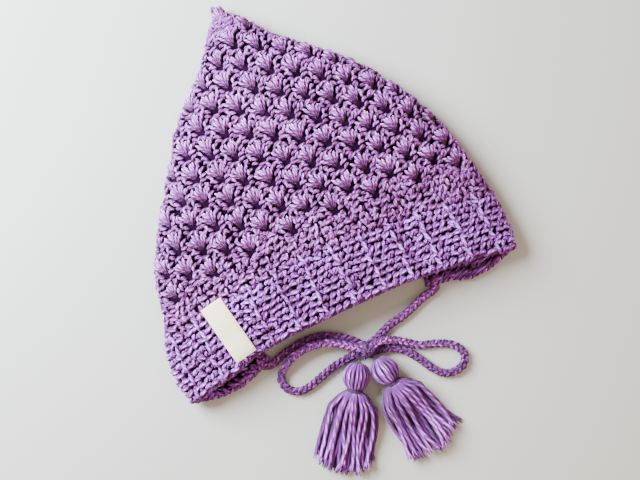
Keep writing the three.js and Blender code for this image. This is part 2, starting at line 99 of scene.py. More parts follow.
LOOP_RIGHT = [
    (119.8, -10.4, 8.4), (126.7, -9.6, 8.3), (133.1, -10.6, 7.2), (139, -14.2, 4.6),
    (144.6, -18.8, 2.9), (150.4, -23.6, 2.7), (158, -26.4, 2.7), (165.4, -29.6, 2.7),
    (171.6, -34.6, 2.7), (174.2, -41.4, 2.7), (170.8, -47.2, 2.7), (163.6, -49, 2.7),
    (156.8, -46.8, 2.7), (151.4, -40.6, 2.7), (147.6, -33.2, 2.7), (143, -25.6, 2.7),
    (137, -19.4, 2.8), (129.6, -15.4, 3.4), (122.4, -13.8, 4.4),
]
# Each tassel's ball, its heading in degrees and the seed of its yarns.
TASSELS = {
    "tassel_left": ((104.7, -23.0), 235.5, 31),
    "tassel_right": ((122.9, -27.5), 278.0, 47),
}

# The mouth's edge in millimetres above its lowest point, at shares of the width.
WIDTH = 238.0
MOUTH_ACROSS = (0, 0.05, 0.10, 0.16, 0.23, 0.33, 0.50, 0.66, 0.76, 0.84, 0.90, 0.95, 1)
MOUTH_UPPER = (6.8, 9.1, 12.1, 14.4, 18.9, 20.1, 19.6, 18.2, 15.0, 12.8, 10.5, 6.4, 4.1)
MOUTH_LOWER = (6.8, 4.1, 4.1, 6.8, 13.2, 14.1, 14.1, 12.5, 8.4, 4.6, 0.5, 0.7, 4.1)
# Below its top the mouth draws in: heights, and how far in each fold lies there.
MOUTH_TOP = 24.0
DRAWN_UP = (0, 5.5, 11.4, MOUTH_TOP)
DRAWN_LEFT = (8.1, 4.8, 2.1, 0.0)
DRAWN_RIGHT = (7.9, 3.6, 1.7, 0.0)
EDGE_HEIGHT = 0.93
# The seam between band and crown: its highest point, its drop at the folds, its peak's place.
SEAM_TOP = 58.6
SEAM_DROP = 14.0
SEAM_PEAK = 0.45
BAND_DEPTH = 39.0
FIRST_RIB = -102.8
# The face opening in the lower layer: straight sides, then an arch.
FACE_MIDDLE = 115.4
FACE_HALF = 59.0
FACE_SPRING = 55.1
# The wall's thickness, the height under which a place belongs to the lower layer, the height
# from which a stitch belongs to the upper one, and how far in metres the ground fabric lies
# under the wall's faces.
WALL = 5.0
LOWER_LAYER = 6.0
UPPER_STITCHES = 7.0
GROUND_DEPTH = 0.0019
# Heights in y of the rings round the hood that the rows are counted on.
SEAM_RING = -60.0
BAND_RING = -80.0
MOUTH_RING = -85.0
PEAK_RING = 112.8
INNER_TOP = 76.0

# The tassel's ball: half its length and width, and its middle's height over the table.
BALL_LONG = 8.6
BALL_WIDE = 7.7
BALL_UP = 9.15
# Layers of the skirt from the lowest: share of its yarns, height at rest, rise, brightness as
# painted light, darker on the lower layers as painted shade.
SKIRT_LAYERS = ((0.38, 1.5, -2.6, 0.5), (0.34, 4.1, 0.2, 0.72), (0.28, 6.4, 2.9, 1.0))
# Each turn of the knot: heading, lean, height and length.
KNOT_TURNS = ((20, 0.0, 4.0, 6.8), (78, 0.4, 3.4, 6.0), (-46, -0.3, 3.2, 6.2), (110, 0.1, 4.6, 5.2))

LABEL_SIZE = (0.015, 0.040, 0.0008)
LABEL_TURN = math.radians(8.4)
LABEL_LIFT = 2.9

# The view: what it looks at, its right and its upward way on the table, its tilt and distance.
VIEW_MIDDLE = Vector((0.0041, -0.0477, 0.012))
VIEW_RIGHT = Vector((0.895, -0.446, 0.0)).normalized()
VIEW_AHEAD = Vector((0.446, 0.895, 0.0)).normalized()
VIEW_TILT = math.radians(2.5)
VIEW_DISTANCE = 0.5735
LIGHTS = (
    ("window", (-0.50, 0.26, 0.40), 146.0, 0.25, (0.845, 0.95, 1.0)),
    ("bounce", (0.35, -0.5, 0.30), 7.0, 0.35, (1.0, 0.72, 0.50)),
)
ROOM_COLOUR = (1.0, 0.80, 0.63, 1.0)
ROOM_STRENGTH = 1.02


# ---- yarn: strands as arrays of points, faces and two measures for the material ----


class Yarn:
    """A heap of strands: points, quads, triangles, both faces' UVs, painted light and shade, and
    tints.
    """

    def __init__(self, *strands):
        self.parts = [[] for _ in range(7)]
        self.count = 0
        self.add(*strands)

    def add(self, *strands):
        for co, quads, tris, *rest in strands:
            values = (co, quads + self.count, tris + self.count, *rest)
            for part, value in zip(self.parts, values):
                part.append(value)
            self.count += len(co)

    def joined(self):
        return [np.concatenate(part) for part in self.parts]


def run_of(points):
    """How far along a line each of its points lies."""
    return np.concatenate([[0], np.cumsum(np.linalg.norm(np.diff(points, axis=0), axis=1))])


def mix(t, lo, hi, a, b):
    return (hi - t) / (hi - lo) * a + (t - lo) / (hi - lo) * b


def spline(points, step=None, count=None):
    """Points of a centripetal Catmull-Rom curve, evenly spaced."""
    p = np.array(points, float)
    p = np.vstack([2 * p[0] - p[1], p, 2 * p[-1] - p[-2]])
    fine = []
    for a, b, c, d in zip(p, p[1:], p[2:], p[3:]):
        t0 = 0.0
        t1 = t0 + max(np.linalg.norm(b - a), 1e-6) ** 0.5
        t2 = t1 + max(np.linalg.norm(c - b), 1e-6) ** 0.5
        t3 = t2 + max(np.linalg.norm(d - c), 1e-6) ** 0.5
        t = np.linspace(t1, t2, 12, endpoint=False)[:, None]
        a1, a2, a3 = mix(t, t0, t1, a, b), mix(t, t1, t2, b, c), mix(t, t2, t3, c, d)
        fine.append(mix(t, t1, t2, mix(t, t0, t2, a1, a2), mix(t, t1, t3, a2, a3)))
    fine = np.vstack(fine + [p[-2:-1]])
    run = run_of(fine)
    n = count or max(2, int(round(run[-1] / step)) + 1)
    at = np.linspace(0, run[-1], n)
    return np.stack([np.interp(at, run, fine[:, k]) for k in range(3)], axis=1)


def frames(points, up=(0.0, 0.0, 1.0)):
    """The two directions square to a line at each of its points, carried along it untwisted."""
    t = np.gradient(points, axis=0)
    t /= np.linalg.norm(t, axis=1)[:, None] + 1e-12
    up = np.array(up, float)
    n = up - t[0] * up.dot(t[0])
    if np.linalg.norm(n) < 1e-3:
        n = np.array([1.0, 0.3, 0.0]) - t[0] * t[0].dot([1.0, 0.3, 0.0])
    n /= np.linalg.norm(n)
    out = [n]
    for k in range(1, len(points)):
        n = n - t[k] * n.dot(t[k])
        n /= np.linalg.norm(n) + 1e-12
        out.append(n)
    n = np.array(out)
    return n, np.cross(t, n), t


def strand(points, radius, sides=7, up=(0.0, 0.0, 1.0), shading_tone=0.7, tint=0.5, shade=0.85):
    """A closed tube of yarn along points. radius and the painted light and shade are numbers or one
    for each point.
    Painted shade darkens it by the share shade, from the side that faces up to the one that faces
    down, and darkens the end caps."""
    n, b, t = frames(points, up)
    count = len(points)
    radius = np.broadcast_to(np.asarray(radius, float), (count,))
    shading_tone = np.broadcast_to(np.asarray(shading_tone, float), (count,))
    a = np.arange(sides) / sides * 2 * math.pi
    ring = np.cos(a)[None, :, None] * n[:, None, :] + np.sin(a)[None, :, None] * b[:, None, :]
    co = (points[:, None, :] + radius[:, None, None] * ring).reshape(-1, 3)
    caps = [points[0] - t[0] * radius[0] * 0.7, points[-1] + t[-1] * radius[-1] * 0.7]
    co = np.vstack([co, caps])
    i, j = np.meshgrid(np.arange(count - 1), np.arange(sides), indexing="ij")
    k = (j + 1) % sides
    quads = np.stack(
        [i * sides + j, i * sides + k, (i + 1) * sides + k, (i + 1) * sides + j], axis=-1
    ).reshape(-1, 4)
    run = run_of(points)
    lo, hi = run[i], run[i + 1]
    corners = ((j, lo), (j + 1, lo), (j + 1, hi), (j, hi))
    quad_uv = np.stack([np.stack([u / sides, v], -1) for u, v in corners], axis=2)
    j = np.arange(sides)
    k = (j + 1) % sides
    last = (count - 1) * sides
    start = np.stack([k, j, np.full(sides, count * sides)], axis=1)
    end = np.stack([last + j, last + k, np.full(sides, count * sides + 1)], axis=1)
    one = np.stack([(j + 1) / sides, j / sides, (j + 0.5) / sides], axis=1)
    tri_uv = np.concatenate([
        np.stack([one, np.full_like(one, 0.0)], axis=-1),
        np.stack([one[:, [1, 0, 2]], np.full_like(one, run[-1])], axis=-1),
    ])
    # painted shade: each ring darker on its sides and underside, the end caps darker still
    vertex_shading = 1 - shade * np.tile(1 - np.maximum(0, np.cos(a)), count) ** 0.85
    vertex_shading = np.concatenate([np.repeat(shading_tone, sides) * vertex_shading, [shading_tone[0] * 0.8, shading_tone[-1] * 0.9]])
    tints = np.full(len(co), float(tint))
    return co, quads, np.vstack([start, end]), quad_uv.reshape(-1, 4, 2), tri_uv, vertex_shading, tints


def rounded(count, low=0.62, ends=2):
    """Shares of the radius along a strand whose ends are round."""
    out = np.ones(count)
    for k in range(ends):
        share = low + (1 - low) * (k / ends) ** 0.6
        out[k] = min(out[k], share)
        out[-1 - k] = min(out[-1 - k], share)
    return out


def yarn_piece(name, yarn, material, nodes=(), lowest=0.15):
    """One object from a heap of strands, in metres, in the row frame."""
    co, quads, tris, quad_uv, tri_uv, shading_tone, tint = yarn.joined()
    co[:, 2] = np.maximum(co[:, 2], lowest)
    faces = quads.tolist() + tris.tolist()
    mesh = bpy.data.meshes.new(name)
    mesh.from_pydata((co * MM).tolist(), [], faces)
    uv = mesh.uv_layers.new(name="Ply")
    flat = np.concatenate([quad_uv.reshape(-1, 2), tri_uv.reshape(-1, 2)])
    uv.data.foreach_set("uv", flat.astype(np.float32).ravel())
    for label, values in (("shading_tone", shading_tone), ("tint", tint)):
        layer = mesh.attributes.new(label, "FLOAT", "POINT")
        layer.data.foreach_set("value", values.astype(np.float32))
    mesh.polygons.foreach_set("use_smooth", np.ones(len(faces), bool))
    mesh.materials.append(material)
    mesh.update()
    piece = bpy.data.objects.new(name, mesh)
    bpy.context.scene.collection.objects.link(piece)
    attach(piece, "root")
    if nodes:
        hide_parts(*nodes)
    return piece


# ---- the hood's surface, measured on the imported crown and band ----


class Surface:
    """The hood's outer face by rows of y and by the way round from x = 10 mm on top."""

    ROWS = 154
    ROUND = 240
    START = 10.0

    def __init__(self, nodes):
        bm = bmesh.new()
        for node in nodes:
            bm.from_mesh(frame["nodes"][node].data)
        bmesh.ops.triangulate(bm, faces=bm.faces)
        self.tree = BVHTree.FromBMesh(bm)
        heights = [v.co.y / MM for v in bm.verts]
        bm.free()
        self.y = np.linspace(min(heights) + 1.0, max(heights) - 0.6, self.ROWS)
        self.round = np.zeros(self.ROWS)
        self.point = np.zeros((self.ROWS, self.ROUND, 3))
        self.folds = np.zeros((self.ROWS, 2))
        kept = None
        for r in range(self.ROWS - 1, -1, -1):
            if self.y[r] + DRAWN_AT[1] < MOUTH_TOP:
                self.lay_row(r, self.drawn_in(kept, self.y[r]))
            else:
                kept = self.section(self.y[r], kept)
                self.lay_row(r, kept)
        dy = np.gradient(self.point, axis=0)
        dx = np.roll(self.point, -1, axis=1) - np.roll(self.point, 1, axis=1)
        normal = np.cross(dx, dy)
        for _ in range(5):
            normal /= np.linalg.norm(normal, axis=2)[:, :, None] + 1e-12
            rows = np.concatenate([normal[:1], normal, normal[-1:]])
            sides = np.roll(normal, 1, axis=1), np.roll(normal, -1, axis=1)
            normal = 2 * normal + sides[0] + sides[1] + rows[2:] + rows[:-2]
        normal /= np.linalg.norm(normal, axis=2)[:, :, None] + 1e-12
        self.normal = normal

    def cast(self, x, y, z, dx, dz):
        """Where a ray from (x, y, z) first meets the solids, or None."""
        length = math.hypot(dx, dz)
        start, way = Vector((x * MM, y * MM, z * MM)), Vector((dx / length, 0, dz / length))
        hit = self.tree.ray_cast(start, way, length * MM)[0]
        return None if hit is None else np.array(hit) / MM

    def section(self, y, kept):
        """The ring of points round the hood at y; where a ray finds none, the last row's."""
        left, right = 1e9, -1e9
        for z in (3, 5, 7, 9, 11):
            for x, way in ((-160, 320), (160, -320)):
                hit = self.cast(x, y, z, way, 0)
                if hit is not None:
                    left, right = min(left, hit[0]), max(right, hit[0])
        cx, half = (left + right) / 2, (right - left) / 2
        top = self.cast(cx, y, 60, 0, -60)
        if top is not None and top[2] > 9:
            high = top[2]
        else:
            high = kept[:, 2].max() if kept is not None else 20
        cz = 0.42 * high
        ring = []
        for k in range(360):
            angle = k / 360 * 2 * math.pi
            dx, dz = math.cos(angle) * half, math.sin(angle) * high * 0.62
            hit = self.cast(cx + 1.5 * dx, y, cz + 1.5 * dz, -1.5 * dx, -1.5 * dz)
            if dz < 0:
                # underneath, a ray that passes through the face opening ends on the table
                low = min(cz / -dz, 1.0)
                if hit is None or hit[2] > (2.0 if abs(dx) < 0.86 * half else cz * 0.98):
                    hit = np.array([cx + dx * low, y, max(0.0, cz + dz * low)])
            elif hit is None or (
                kept is not None and hit[2] < kept[k][2] - 4.0 and abs(dx) < 0.9 * half
            ):
                hit = None if kept is None else np.array([kept[k][0], y, kept[k][2]])
            ring.append(np.array([cx + dx, y, cz]) if hit is None else hit)
        return np.array(ring)

    @staticmethod
    def drawn_in(kept, y):
        """The last whole ring, drawn in toward the mouth as the hood's outline is there."""
        up = y + DRAWN_AT[1]
        left, right = kept[:, 0].min(), kept[:, 0].max()
        a = left + np.interp(up, DRAWN_UP, DRAWN_LEFT)
        b = right - np.interp(up, DRAWN_UP, DRAWN_RIGHT)
        ring = kept.copy()
        ring[:, 0] = a + (kept[:, 0] - left) * (b - a) / (right - left)
        ring[:, 1] = y
        ring[:, 2] *= np.interp(up, (0, MOUTH_TOP), (EDGE_HEIGHT, 1.0))
        return ring

    def lay_row(self, r, ring):
        """Spaces a section's points evenly, from x = 10 mm on top toward the right fold."""
        ring, x0 = ring[::-1], self.START
        top = [k for k in range(len(ring)) if ring[k][2] > 4 and ring[k - 1][0] < x0 <= ring[k][0]]
        first = top[0] if top else int(np.argmax(ring[:, 2]))
        a, b = ring[first - 1], ring[first]
        share = (x0 - a[0]) / (b[0] - a[0] + 1e-9) if top else 1.0
        start = a + (b - a) * share
        path = np.vstack([start, np.roll(ring, -first, axis=0), start])
        run = run_of(path)
        self.round[r] = run[-1]
        at = np.arange(self.ROUND) / self.ROUND * run[-1]
        for k in range(3):
            self.point[r, :, k] = np.interp(at, run, path[:, k])
        right = run[int(np.argmax(path[:, 0]))]
        left = run[int(np.argmin(path[:, 0]))] - run[-1]
        self.folds[r] = (left, right)

    def row_of(self, y):
        return np.clip((y - self.y[0]) / (self.y[1] - self.y[0]), 0, self.ROWS - 1.001)

    def length(self, y):
        return float(np.interp(y, self.y, self.round))

    def fold(self, y):
        return [float(np.interp(y, self.y, self.folds[:, k])) for k in (0, 1)]

    def at(self, s, y, z):
        """Points z above the surface, at s round from x = 10 mm and at y, all in millimetres."""
        s, y, z = np.broadcast_arrays(*[np.asarray(v, float) for v in (s, y, z)])
        row = self.row_of(y)
        r = row.astype(int)
        f = (row - r)[..., None]
        beyond = y - np.clip(y, self.y[0], self.y[-1])

        def look(r):
            col = (s / self.round[r] * self.ROUND) % self.ROUND
            c = col.astype(int) % self.ROUND
            g = (col - col.astype(int))[..., None]
            d = (c + 1) % self.ROUND
            return (
                self.point[r, c] * (1 - g) + self.point[r, d] * g,
                self.normal[r, c] * (1 - g) + self.normal[r, d] * g,
            )

        p0, n0 = look(r)
        p1, n1 = look(np.minimum(r + 1, self.ROWS - 1))
        normal = n0 * (1 - f) + n1 * f
        normal /= np.linalg.norm(normal, axis=-1)[..., None] + 1e-12
        out = p0 * (1 - f) + p1 * f + normal * z[..., None]
        out[..., 1] += beyond
        return out


hood = None


def hood_surface():
    global hood
    if hood is None:
        hood = Surface(["crown", "band"])
    return hood


def across(x):
    return np.clip((x + DRAWN_AT[0]) / WIDTH, 0, 1)


def mouth_y(x, lower):
    table = MOUTH_LOWER if lower else MOUTH_UPPER
    return float(np.interp(across(x), MOUTH_ACROSS, table)) - DRAWN_AT[1]


def seam_y(x):
    return SEAM_TOP - SEAM_DROP * (2 * (across(x) - SEAM_PEAK)) ** 2 - DRAWN_AT[1]


def in_face(x, y, margin=0.0):
    """Whether a place of the lower layer lies in the face opening, grown by a margin."""
    u, v = x + DRAWN_AT[0] - FACE_MIDDLE, y + DRAWN_AT[1]
    half = FACE_HALF + margin
    if v < FACE_SPRING:
        return abs(u) < half
    return math.hypot(u, v - FACE_SPRING) < half


# ---- stitches: each is modelled once, a few ways, and copied onto the surface ----


def ways(count, make, *sizes):
    """A stitch modelled a few ways, each a list of its strands."""
    return [[Yarn(one).joined() for one in make(*sizes)] for _ in range(count)]


def pick(rng, kinds):
    return kinds[rng.integers(len(kinds))]


def puff(rng, thick):
    """A puff: six thick strands that fan out from the hole at its foot to ragged tips, painted dark
    as shade at the foot and light as highlight at the tips.
    """
    strands = []
    t = np.linspace(0, 1, 9)
    for i in range(6):
        share = i / 5 * 2 - 1
        wide = share * 6.2 + rng.uniform(-0.9, 0.9)
        long = (10.6 - 2.4 * share ** 2) * rng.uniform(0.82, 1.14)
        x = wide * (0.05 + 0.95 * t ** 1.05) + rng.uniform(-0.5, 0.5) * np.sin(t * math.pi)
        y = 1.0 + long * t
        z = -2.7 + 3.0 * np.sin(np.minimum(t * 1.1, 1.0) * math.pi / 2) - 0.4 * share ** 2
        z = z + rng.uniform(0.1, 1.0) * t
        radius = thick * 0.5 * np.interp(t, (0, 0.3, 0.65, 0.87, 1), (0.5, 0.80, 1.08, 0.98, 0.5))
        line = np.stack([x, y, z], 1)
        # painted shade at the foot, painted highlight towards the tips
        strands.append(strand(line, radius, shading_tone=0.04 + t ** 0.72, tint=rng.uniform(0, 1)))
    return strands


def short(rng, a, b, thick, bow=0.5, low=-1.2, shading_tone=0.65):
    """One short strand from a to b that bows up in its middle and dives at its ends, painted darker
    there as shade.
    """
    t = np.linspace(0, 1, 6)
    a, b = np.array(a, float), np.array(b, float)
    hump = np.sin(t * math.pi)
    side = np.array([-(b - a)[1], (b - a)[0]]) / (np.linalg.norm(b - a) + 1e-9)
    p = a + (b - a) * t[:, None] + side * (hump * bow)[:, None]
    line = np.stack([p[:, 0], p[:, 1], low + 1.5 * hump ** 0.7 - 0.8], 1)
    return strand(
        line, thick * 0.5 * rounded(6, 0.6, 1), sides=6, shading_tone=shading_tone - 0.4 * (1 - hump),
        tint=rng.uniform(0, 1),
    )


def between(rng, thick):
    """The small loops and single strands round a puff; the hole at its foot stays free."""
    j = lambda k=0.6: rng.uniform(-k, k)
    out = []

    # the last of each strand's numbers is its painted light: a painted highlight on strands that
    # lie high, painted shade on those that lie deeper
    def add(a, b, wide, *looks):
        out.append(short(rng, a, b, thick * wide, *looks))

    # one strand at the puff's shoulder, painted bright
    x, y = 4.6 + j(1.0), 8.0 + j(0.8)
    add((x, y), (x + 2.0 + j(1.2), y + 3.0 + j(0.8)), 1.05, j(0.4), 0.0, 0.85)
    # an eye-shaped loop over its tips
    add((-4.8 + j(0.8), 11.4 + j()), (2.0 + j(0.8), 13.0 + j()), 1.0, 0.9, -0.7, 0.82)
    add((-1.4 + j(), 10.8 + j()), (4.2 + j(), 11.9 + j()), 0.9, -0.3, -1.1, 0.66)
    # strands at both sides of its foot, and one across under the hole
    for way in (-1, 1):
        for (x, y), (u, v), wide, bow, shading_tone in (
            ((2.6, -3.3), (6.5, -2.0), 1.02, 0.5, 0.74), ((2.9, -0.3), (7.0, 1.4), 1.05, 0.6, 0.90),
            ((4.8, 3.4), (8.6, 5.6), 1.00, 0.4, 0.70), ((8.0, 0.2), (10.9, 3.0), 0.98, -0.4, 0.84),
        ):
            a = (way * (x + j()), y + j())
            b = (way * (u + j()), v + j())
            add(a, b, wide, way * bow, -0.4 + j(0.5), shading_tone)
        # a thin strand over them, with a painted highlight
        x, y = way * (5.2 + j(1.2)), 1.6 + j(1.4)
        add((x, y), (x + way * (1.2 + j(0.9)), y + 3.4 + j(0.8)), 0.78, j(0.4), 0.35, 1.0)
    add((-2.9 + j(), -4.3 + j(0.3)), (2.7 + j(), -3.9 + j(0.3)), 0.9, 0.5, -1.0, 0.85)
    return out


def vee(rng, thick, high=5.5):
    """A plain stitch: two short strands that lean together like a roof, and one under them, painted
    darker as shade.
    """
    j = lambda k=0.3: rng.uniform(-k, k)
    out = []
    for a, b, wide, bow, low, shading_tone in (
        ((-2.5, 0.5), (-0.2, high - 1.1), 1.0, 0.35, -0.9, 0.95),
        ((0.2, high - 1.3), (2.6, 1.1), 0.96, 0.35, -1.0, 0.85),
        ((-0.4, 0.5), (1.5, 2.2), 0.8, 0.2, -1.3, 0.7),
    ):
        a = (a[0] + j(), a[1] + j())
        b = (b[0] + j(), b[1] + j())
        out.append(short(rng, a, b, thick * wide, bow, low + j(0.25), shading_tone))
    return out


def lozenge(rng, thick, high):
    """A band stitch: one full loop that lies across its row, and a lower strand behind it, painted
    darker as shade.
    """
    j = lambda k=0.3: rng.uniform(-k, k)
    lean = 0.1 + j(0.9)
    a, b = (-2.7 + j(), 0.9 - lean + j()), (2.5 + j(), 0.9 + lean + j())
    loop = short(rng, a, b, thick, 1.1 + j(0.5), -0.5 + j(0.3), 0.93)
    a, b = (-1.9 + j(), high * 0.6 + j()), (1.2 + j(0.8), high * 0.8 + j())
    return [loop, short(rng, a, b, thick * 0.85, 0.3, -1.2, 0.78)]


def post(rng, thick, high):
    """A rib's post: one slim pointed strand, two rows long, that stands proud of the band."""
    j = lambda k: rng.uniform(-k, k)
    t = np.linspace(0, 1, 9)
    middle, lean = j(0.7), 1.5 + j(1.2)
    x = middle - lean * (t - 0.5) + j(0.2)
    y = -0.6 + (high + 0.6) * t + j(0.8)
    z = 1.0 - 2.2 + 1.5 * np.sin(np.clip(t, 0.02, 0.98) * math.pi) ** 0.6
    r = thick * 0.5 * 1.08 * np.array([0.25, 0.55, 0.85, 1.0, 1.05, 1.0, 0.85, 0.55, 0.25])
    # painted shade at its ends, where it dips into the band, and painted light along its raised
    # middle
    shading_tone = 0.84 * (0.6 + 0.4 * np.sin(t * math.pi) ** 0.8)
    return [strand(np.stack([x, y, z], 1), r, shading_tone=shading_tone, tint=rng.uniform(0, 1), shade=0.7)]


def lay(yarn, cell, s, y, turn=0.0, size=(1.0, 1.0), lift=0.0, inside=False, inside_shade=1.0, keep=None):
    """Copies a stitch onto the hood's outer or inner face, round s and at y."""
    co, *faces, shading_tone, tint = cell
    c, w = math.cos(turn), math.sin(turn)
    x, v = co[:, 0] * size[0], co[:, 1] * size[1]
    if inside:
        x = -x
    z = co[:, 2] + lift
    placed = hood_surface().at(
        s + (x * c - v * w), y + (x * w + v * c), -WALL - z if inside else z
    )
    if keep is None or keep(placed):
        # the last factor paints shade on the stitches of the inner face
        yarn.add((placed, *faces, shading_tone * inside_shade, tint))


def round_places(y, pitch, phase):
    """Places of a pattern round the hood at y: fixed on top, evenly closed underneath."""
    surface = hood_surface()
    whole = surface.length(y)
    left, right = surface.fold(y)
    first = math.ceil((left - 0.25 * pitch - phase) / pitch)
    last = math.floor((right + 0.25 * pitch - phase) / pitch)
    top = [phase + k * pitch for k in range(first, last + 1)]
    if not top:
        return [(0.0, 1.0, False)]
    gap = whole - (top[-1] - top[0])
    count = max(1, round(gap / pitch))
    step = gap / count
    below = [top[-1] + k * step for k in range(1, count)]
    return [(s, 1.0, False) for s in top] + [
        (s if s < whole / 2 else s - whole, step / pitch, True) for s in below
    ]


# ---- materials ----


def linear(colour):
    return tuple(
        (c / 12.92 if c <= 0.04045 else ((c + 0.055) / 1.055) ** 2.4) for c in colour[:3]
    ) + (1.0,)


def node(tree, kind, inputs=None, **settings):
    """A shader node whose inputs are numbers, colours or other nodes' outputs."""
    made = tree.nodes.new(kind)
    for key, value in settings.items():
        setattr(made, key, value)
    for key, value in (inputs or {}).items():
        if isinstance(value, bpy.types.NodeSocket):
            tree.links.new(value, made.inputs[key])
        else:
            made.inputs[key].default_value = value
    return made


def new_material(name, build):
    """A material of one shader, whose inputs build gives by name."""
    material = bpy.data.materials.get(name)
    if material is None:
        material = bpy.data.materials.new(name)
        material.use_nodes = True
        tree = material.node_tree
        tree.nodes.clear()
        shader = node(tree, "ShaderNodeBsdfPrincipled", build(tree))
        node(tree, "ShaderNodeOutputMaterial", {"Surface": shader.outputs["BSDF"]})
    return material


def place(tree):
    return node(tree, "ShaderNodeTexCoord").outputs["Object"]


def maths(tree, operation, *values, **settings):
    inputs = dict(enumerate(values))
    return node(tree, "ShaderNodeMath", inputs, operation=operation, **settings).outputs[0]


def noise(tree, scale, detail, roughness=0.5):
    inputs = {"Vector": place(tree), "Scale": scale, "Detail": detail, "Roughness": roughness}
    return node(tree, "ShaderNodeTexNoise", inputs).outputs[0]


def bumps(tree, height, strength, distance, **settings):
    inputs = {"Height": height, "Strength": strength, "Distance": distance}
    return node(tree, "ShaderNodeBump", inputs, **settings).outputs[0]


def shades(tree, value, *stops):
    """The colour at a value, between stops of a place and a colour."""
    made = node(tree, "ShaderNodeValToRGB", {0: value})
    elements = made.color_ramp.elements
    for spot, colour in stops[1:-1]:
        elements.new(spot).color = colour
    elements[0].position, elements[0].color = stops[0]
    elements[-1].position, elements[-1].color = stops[-1]
    return made.outputs["Color"]


def yarn_material(name, dark, middle, light, pitch=3.4, fuzz=0.08, bump=0.9, highlight_lift=0.24):
    """Matt plied yarn: twist and fibres from its own UV map; its colour runs from painted shade to
    a painted highlight, after the painted light and shade each strand carries.
    """

    def build(tree):
        uv = node(tree, "ShaderNodeUVMap", uv_map="Ply").outputs[0]
        along = node(tree, "ShaderNodeSeparateXYZ", {0: uv}).outputs
        shading_tone, tint = (
            node(tree, "ShaderNodeAttribute", attribute_name=kind).outputs["Fac"]
            for kind in ("shading_tone", "tint")
        )
        # three plies wind round the strand once in each pitch
        turns = maths(tree, "MULTIPLY", along["X"], 3.0)
        run = maths(tree, "MULTIPLY", along["Y"], 1.0 / pitch)
        angle = maths(tree, "MULTIPLY", maths(tree, "ADD", turns, run), 2 * math.pi)
        up = maths(tree, "MULTIPLY_ADD", maths(tree, "SINE", angle), 0.5, 0.5)
        # the yarn's own height: plies first, then loose fibres
        height = maths(tree, "MULTIPLY_ADD", noise(tree, 1400.0, 3.0, 0.6), 0.55, up)
        # its colour: painted shade deep in the stitch, painted highlight on the bulge and on the
        # plies' crests, a little different each strand at random
        shading_and_variation = 0.0
        for value, swing in ((tint, 0.16), (noise(tree, 55.0, 2.0), 0.30), (up, 0.26)):
            part = maths(tree, "MULTIPLY_ADD", value, swing, -swing / 2)
            shading_and_variation = maths(tree, "ADD", shading_and_variation, part)
        shading_and_variation = maths(tree, "MULTIPLY_ADD", shading_tone, 0.95, shading_and_variation, use_clamp=True)
        # the lightest stop is a painted highlight, lifted above the light colour
        painted_highlight = [min(1.0, highlight_lift + 1.28 * c) for c in light]
        return {
            "Base Color": shades(
                tree, shading_and_variation, (0.0, linear(dark)), (0.45, linear(middle)), (0.80, linear(light)),
                (1.0, linear(painted_highlight)),
            ),
            "Normal": bumps(tree, height, bump, 0.0006),
            "Roughness": 0.82,
            "Specular IOR Level": 0.25,
            "Sheen Weight": fuzz,
            "Sheen Roughness": 0.45,
            "Sheen Tint": (0.92, 0.82, 1.0, 1.0),
        }

    return new_material(name, build)


def ground_material(name, dark, light):
    """The close fabric under the stitches, in small bumps: its colour is painted shade, darker
    towards the bumps' edges.
    """

    def build(tree):
        cells = node(tree, "ShaderNodeTexVoronoi", {"Vector": place(tree), "Scale": 260.0})
        height = maths(tree, "SUBTRACT", cells.outputs["Distance"], noise(tree, 900.0, 3.0))
        return {
            "Base Color": shades(tree, height, (0.0, linear(light)), (0.55, linear(dark))),
            "Normal": bumps(tree, height, 0.7, 0.0012, invert=True),
            "Roughness": 1.0,
            "Specular IOR Level": 0.0,
        }

    return new_material(name, build)


def soiled(tree, colour, share, scale, detail):
    """A colour that darkens a little here and there, to the given share."""
    base = linear(colour)
    darker = tuple(share * c for c in base[:3]) + (1.0,)
    return shades(tree, noise(tree, scale, detail), (0.3, darker), (0.7, base))


def cloth_material(name, colour):
    """Bare cream label cloth with a close plain weave."""

    def build(tree):
        turned = node(
            tree, "ShaderNodeMapping", {"Vector": place(tree), "Rotation": (0, 0, -LABEL_TURN)}
        )
        inputs = {"Vector": turned.outputs[0], "Scale": 700.0}
        warp, weft = (
            node(tree, "ShaderNodeTexWave", inputs, bands_direction=way).outputs["Fac"]
            for way in "XY"
        )
        return {
            "Base Color": soiled(tree, colour, 0.90, 90.0, 4.0),
            "Normal": bumps(tree, maths(tree, "MULTIPLY", warp, weft), 0.25, 0.0002),
            "Roughness": 0.7,
            "Sheen Weight": 0.2,
        }

    return new_material(name, build)


def floor_material(name, colour):
    """A plain pale tabletop, faintly uneven."""

    def build(tree):
        return {
            "Base Color": soiled(tree, colour, 0.97, 3.0, 2.0),
            "Roughness": 0.75,
            "Specular IOR Level": 0.2,
        }

    return new_material(name, build)


def hood_yarn():
    colours = bpy.context.scene.hood_colours
    return yarn_material(
        "Crochet yarn", colours.yarn_shade, colours.yarn_middle, colours.yarn_highlight
    )


def band_yarn():
    """The band's yarn: the same, with its middle and highlight colours painted lighter and bluer,
    as its closer stitches catch more light.
    """
    colours = bpy.context.scene.hood_colours
    return yarn_material(
        "Band yarn", colours.yarn_shade, [1.12 * c for c in colours.yarn_middle],
        [share * c for share, c in zip((1.04, 1.08, 1.18), colours.yarn_highlight)],
    )


def cord_yarn():
    colours = bpy.context.scene.hood_colours
    return yarn_material(
        # the cord's own colour, with a painted shade and a painted highlight made from it
        "Cord yarn", [1.35 * c for c in colours.yarn_shade], colours.cord,
        [min(1.0, 1.55 * c) for c in colours.cord], pitch=2.8,
    )


# ---- sizes and colours ----


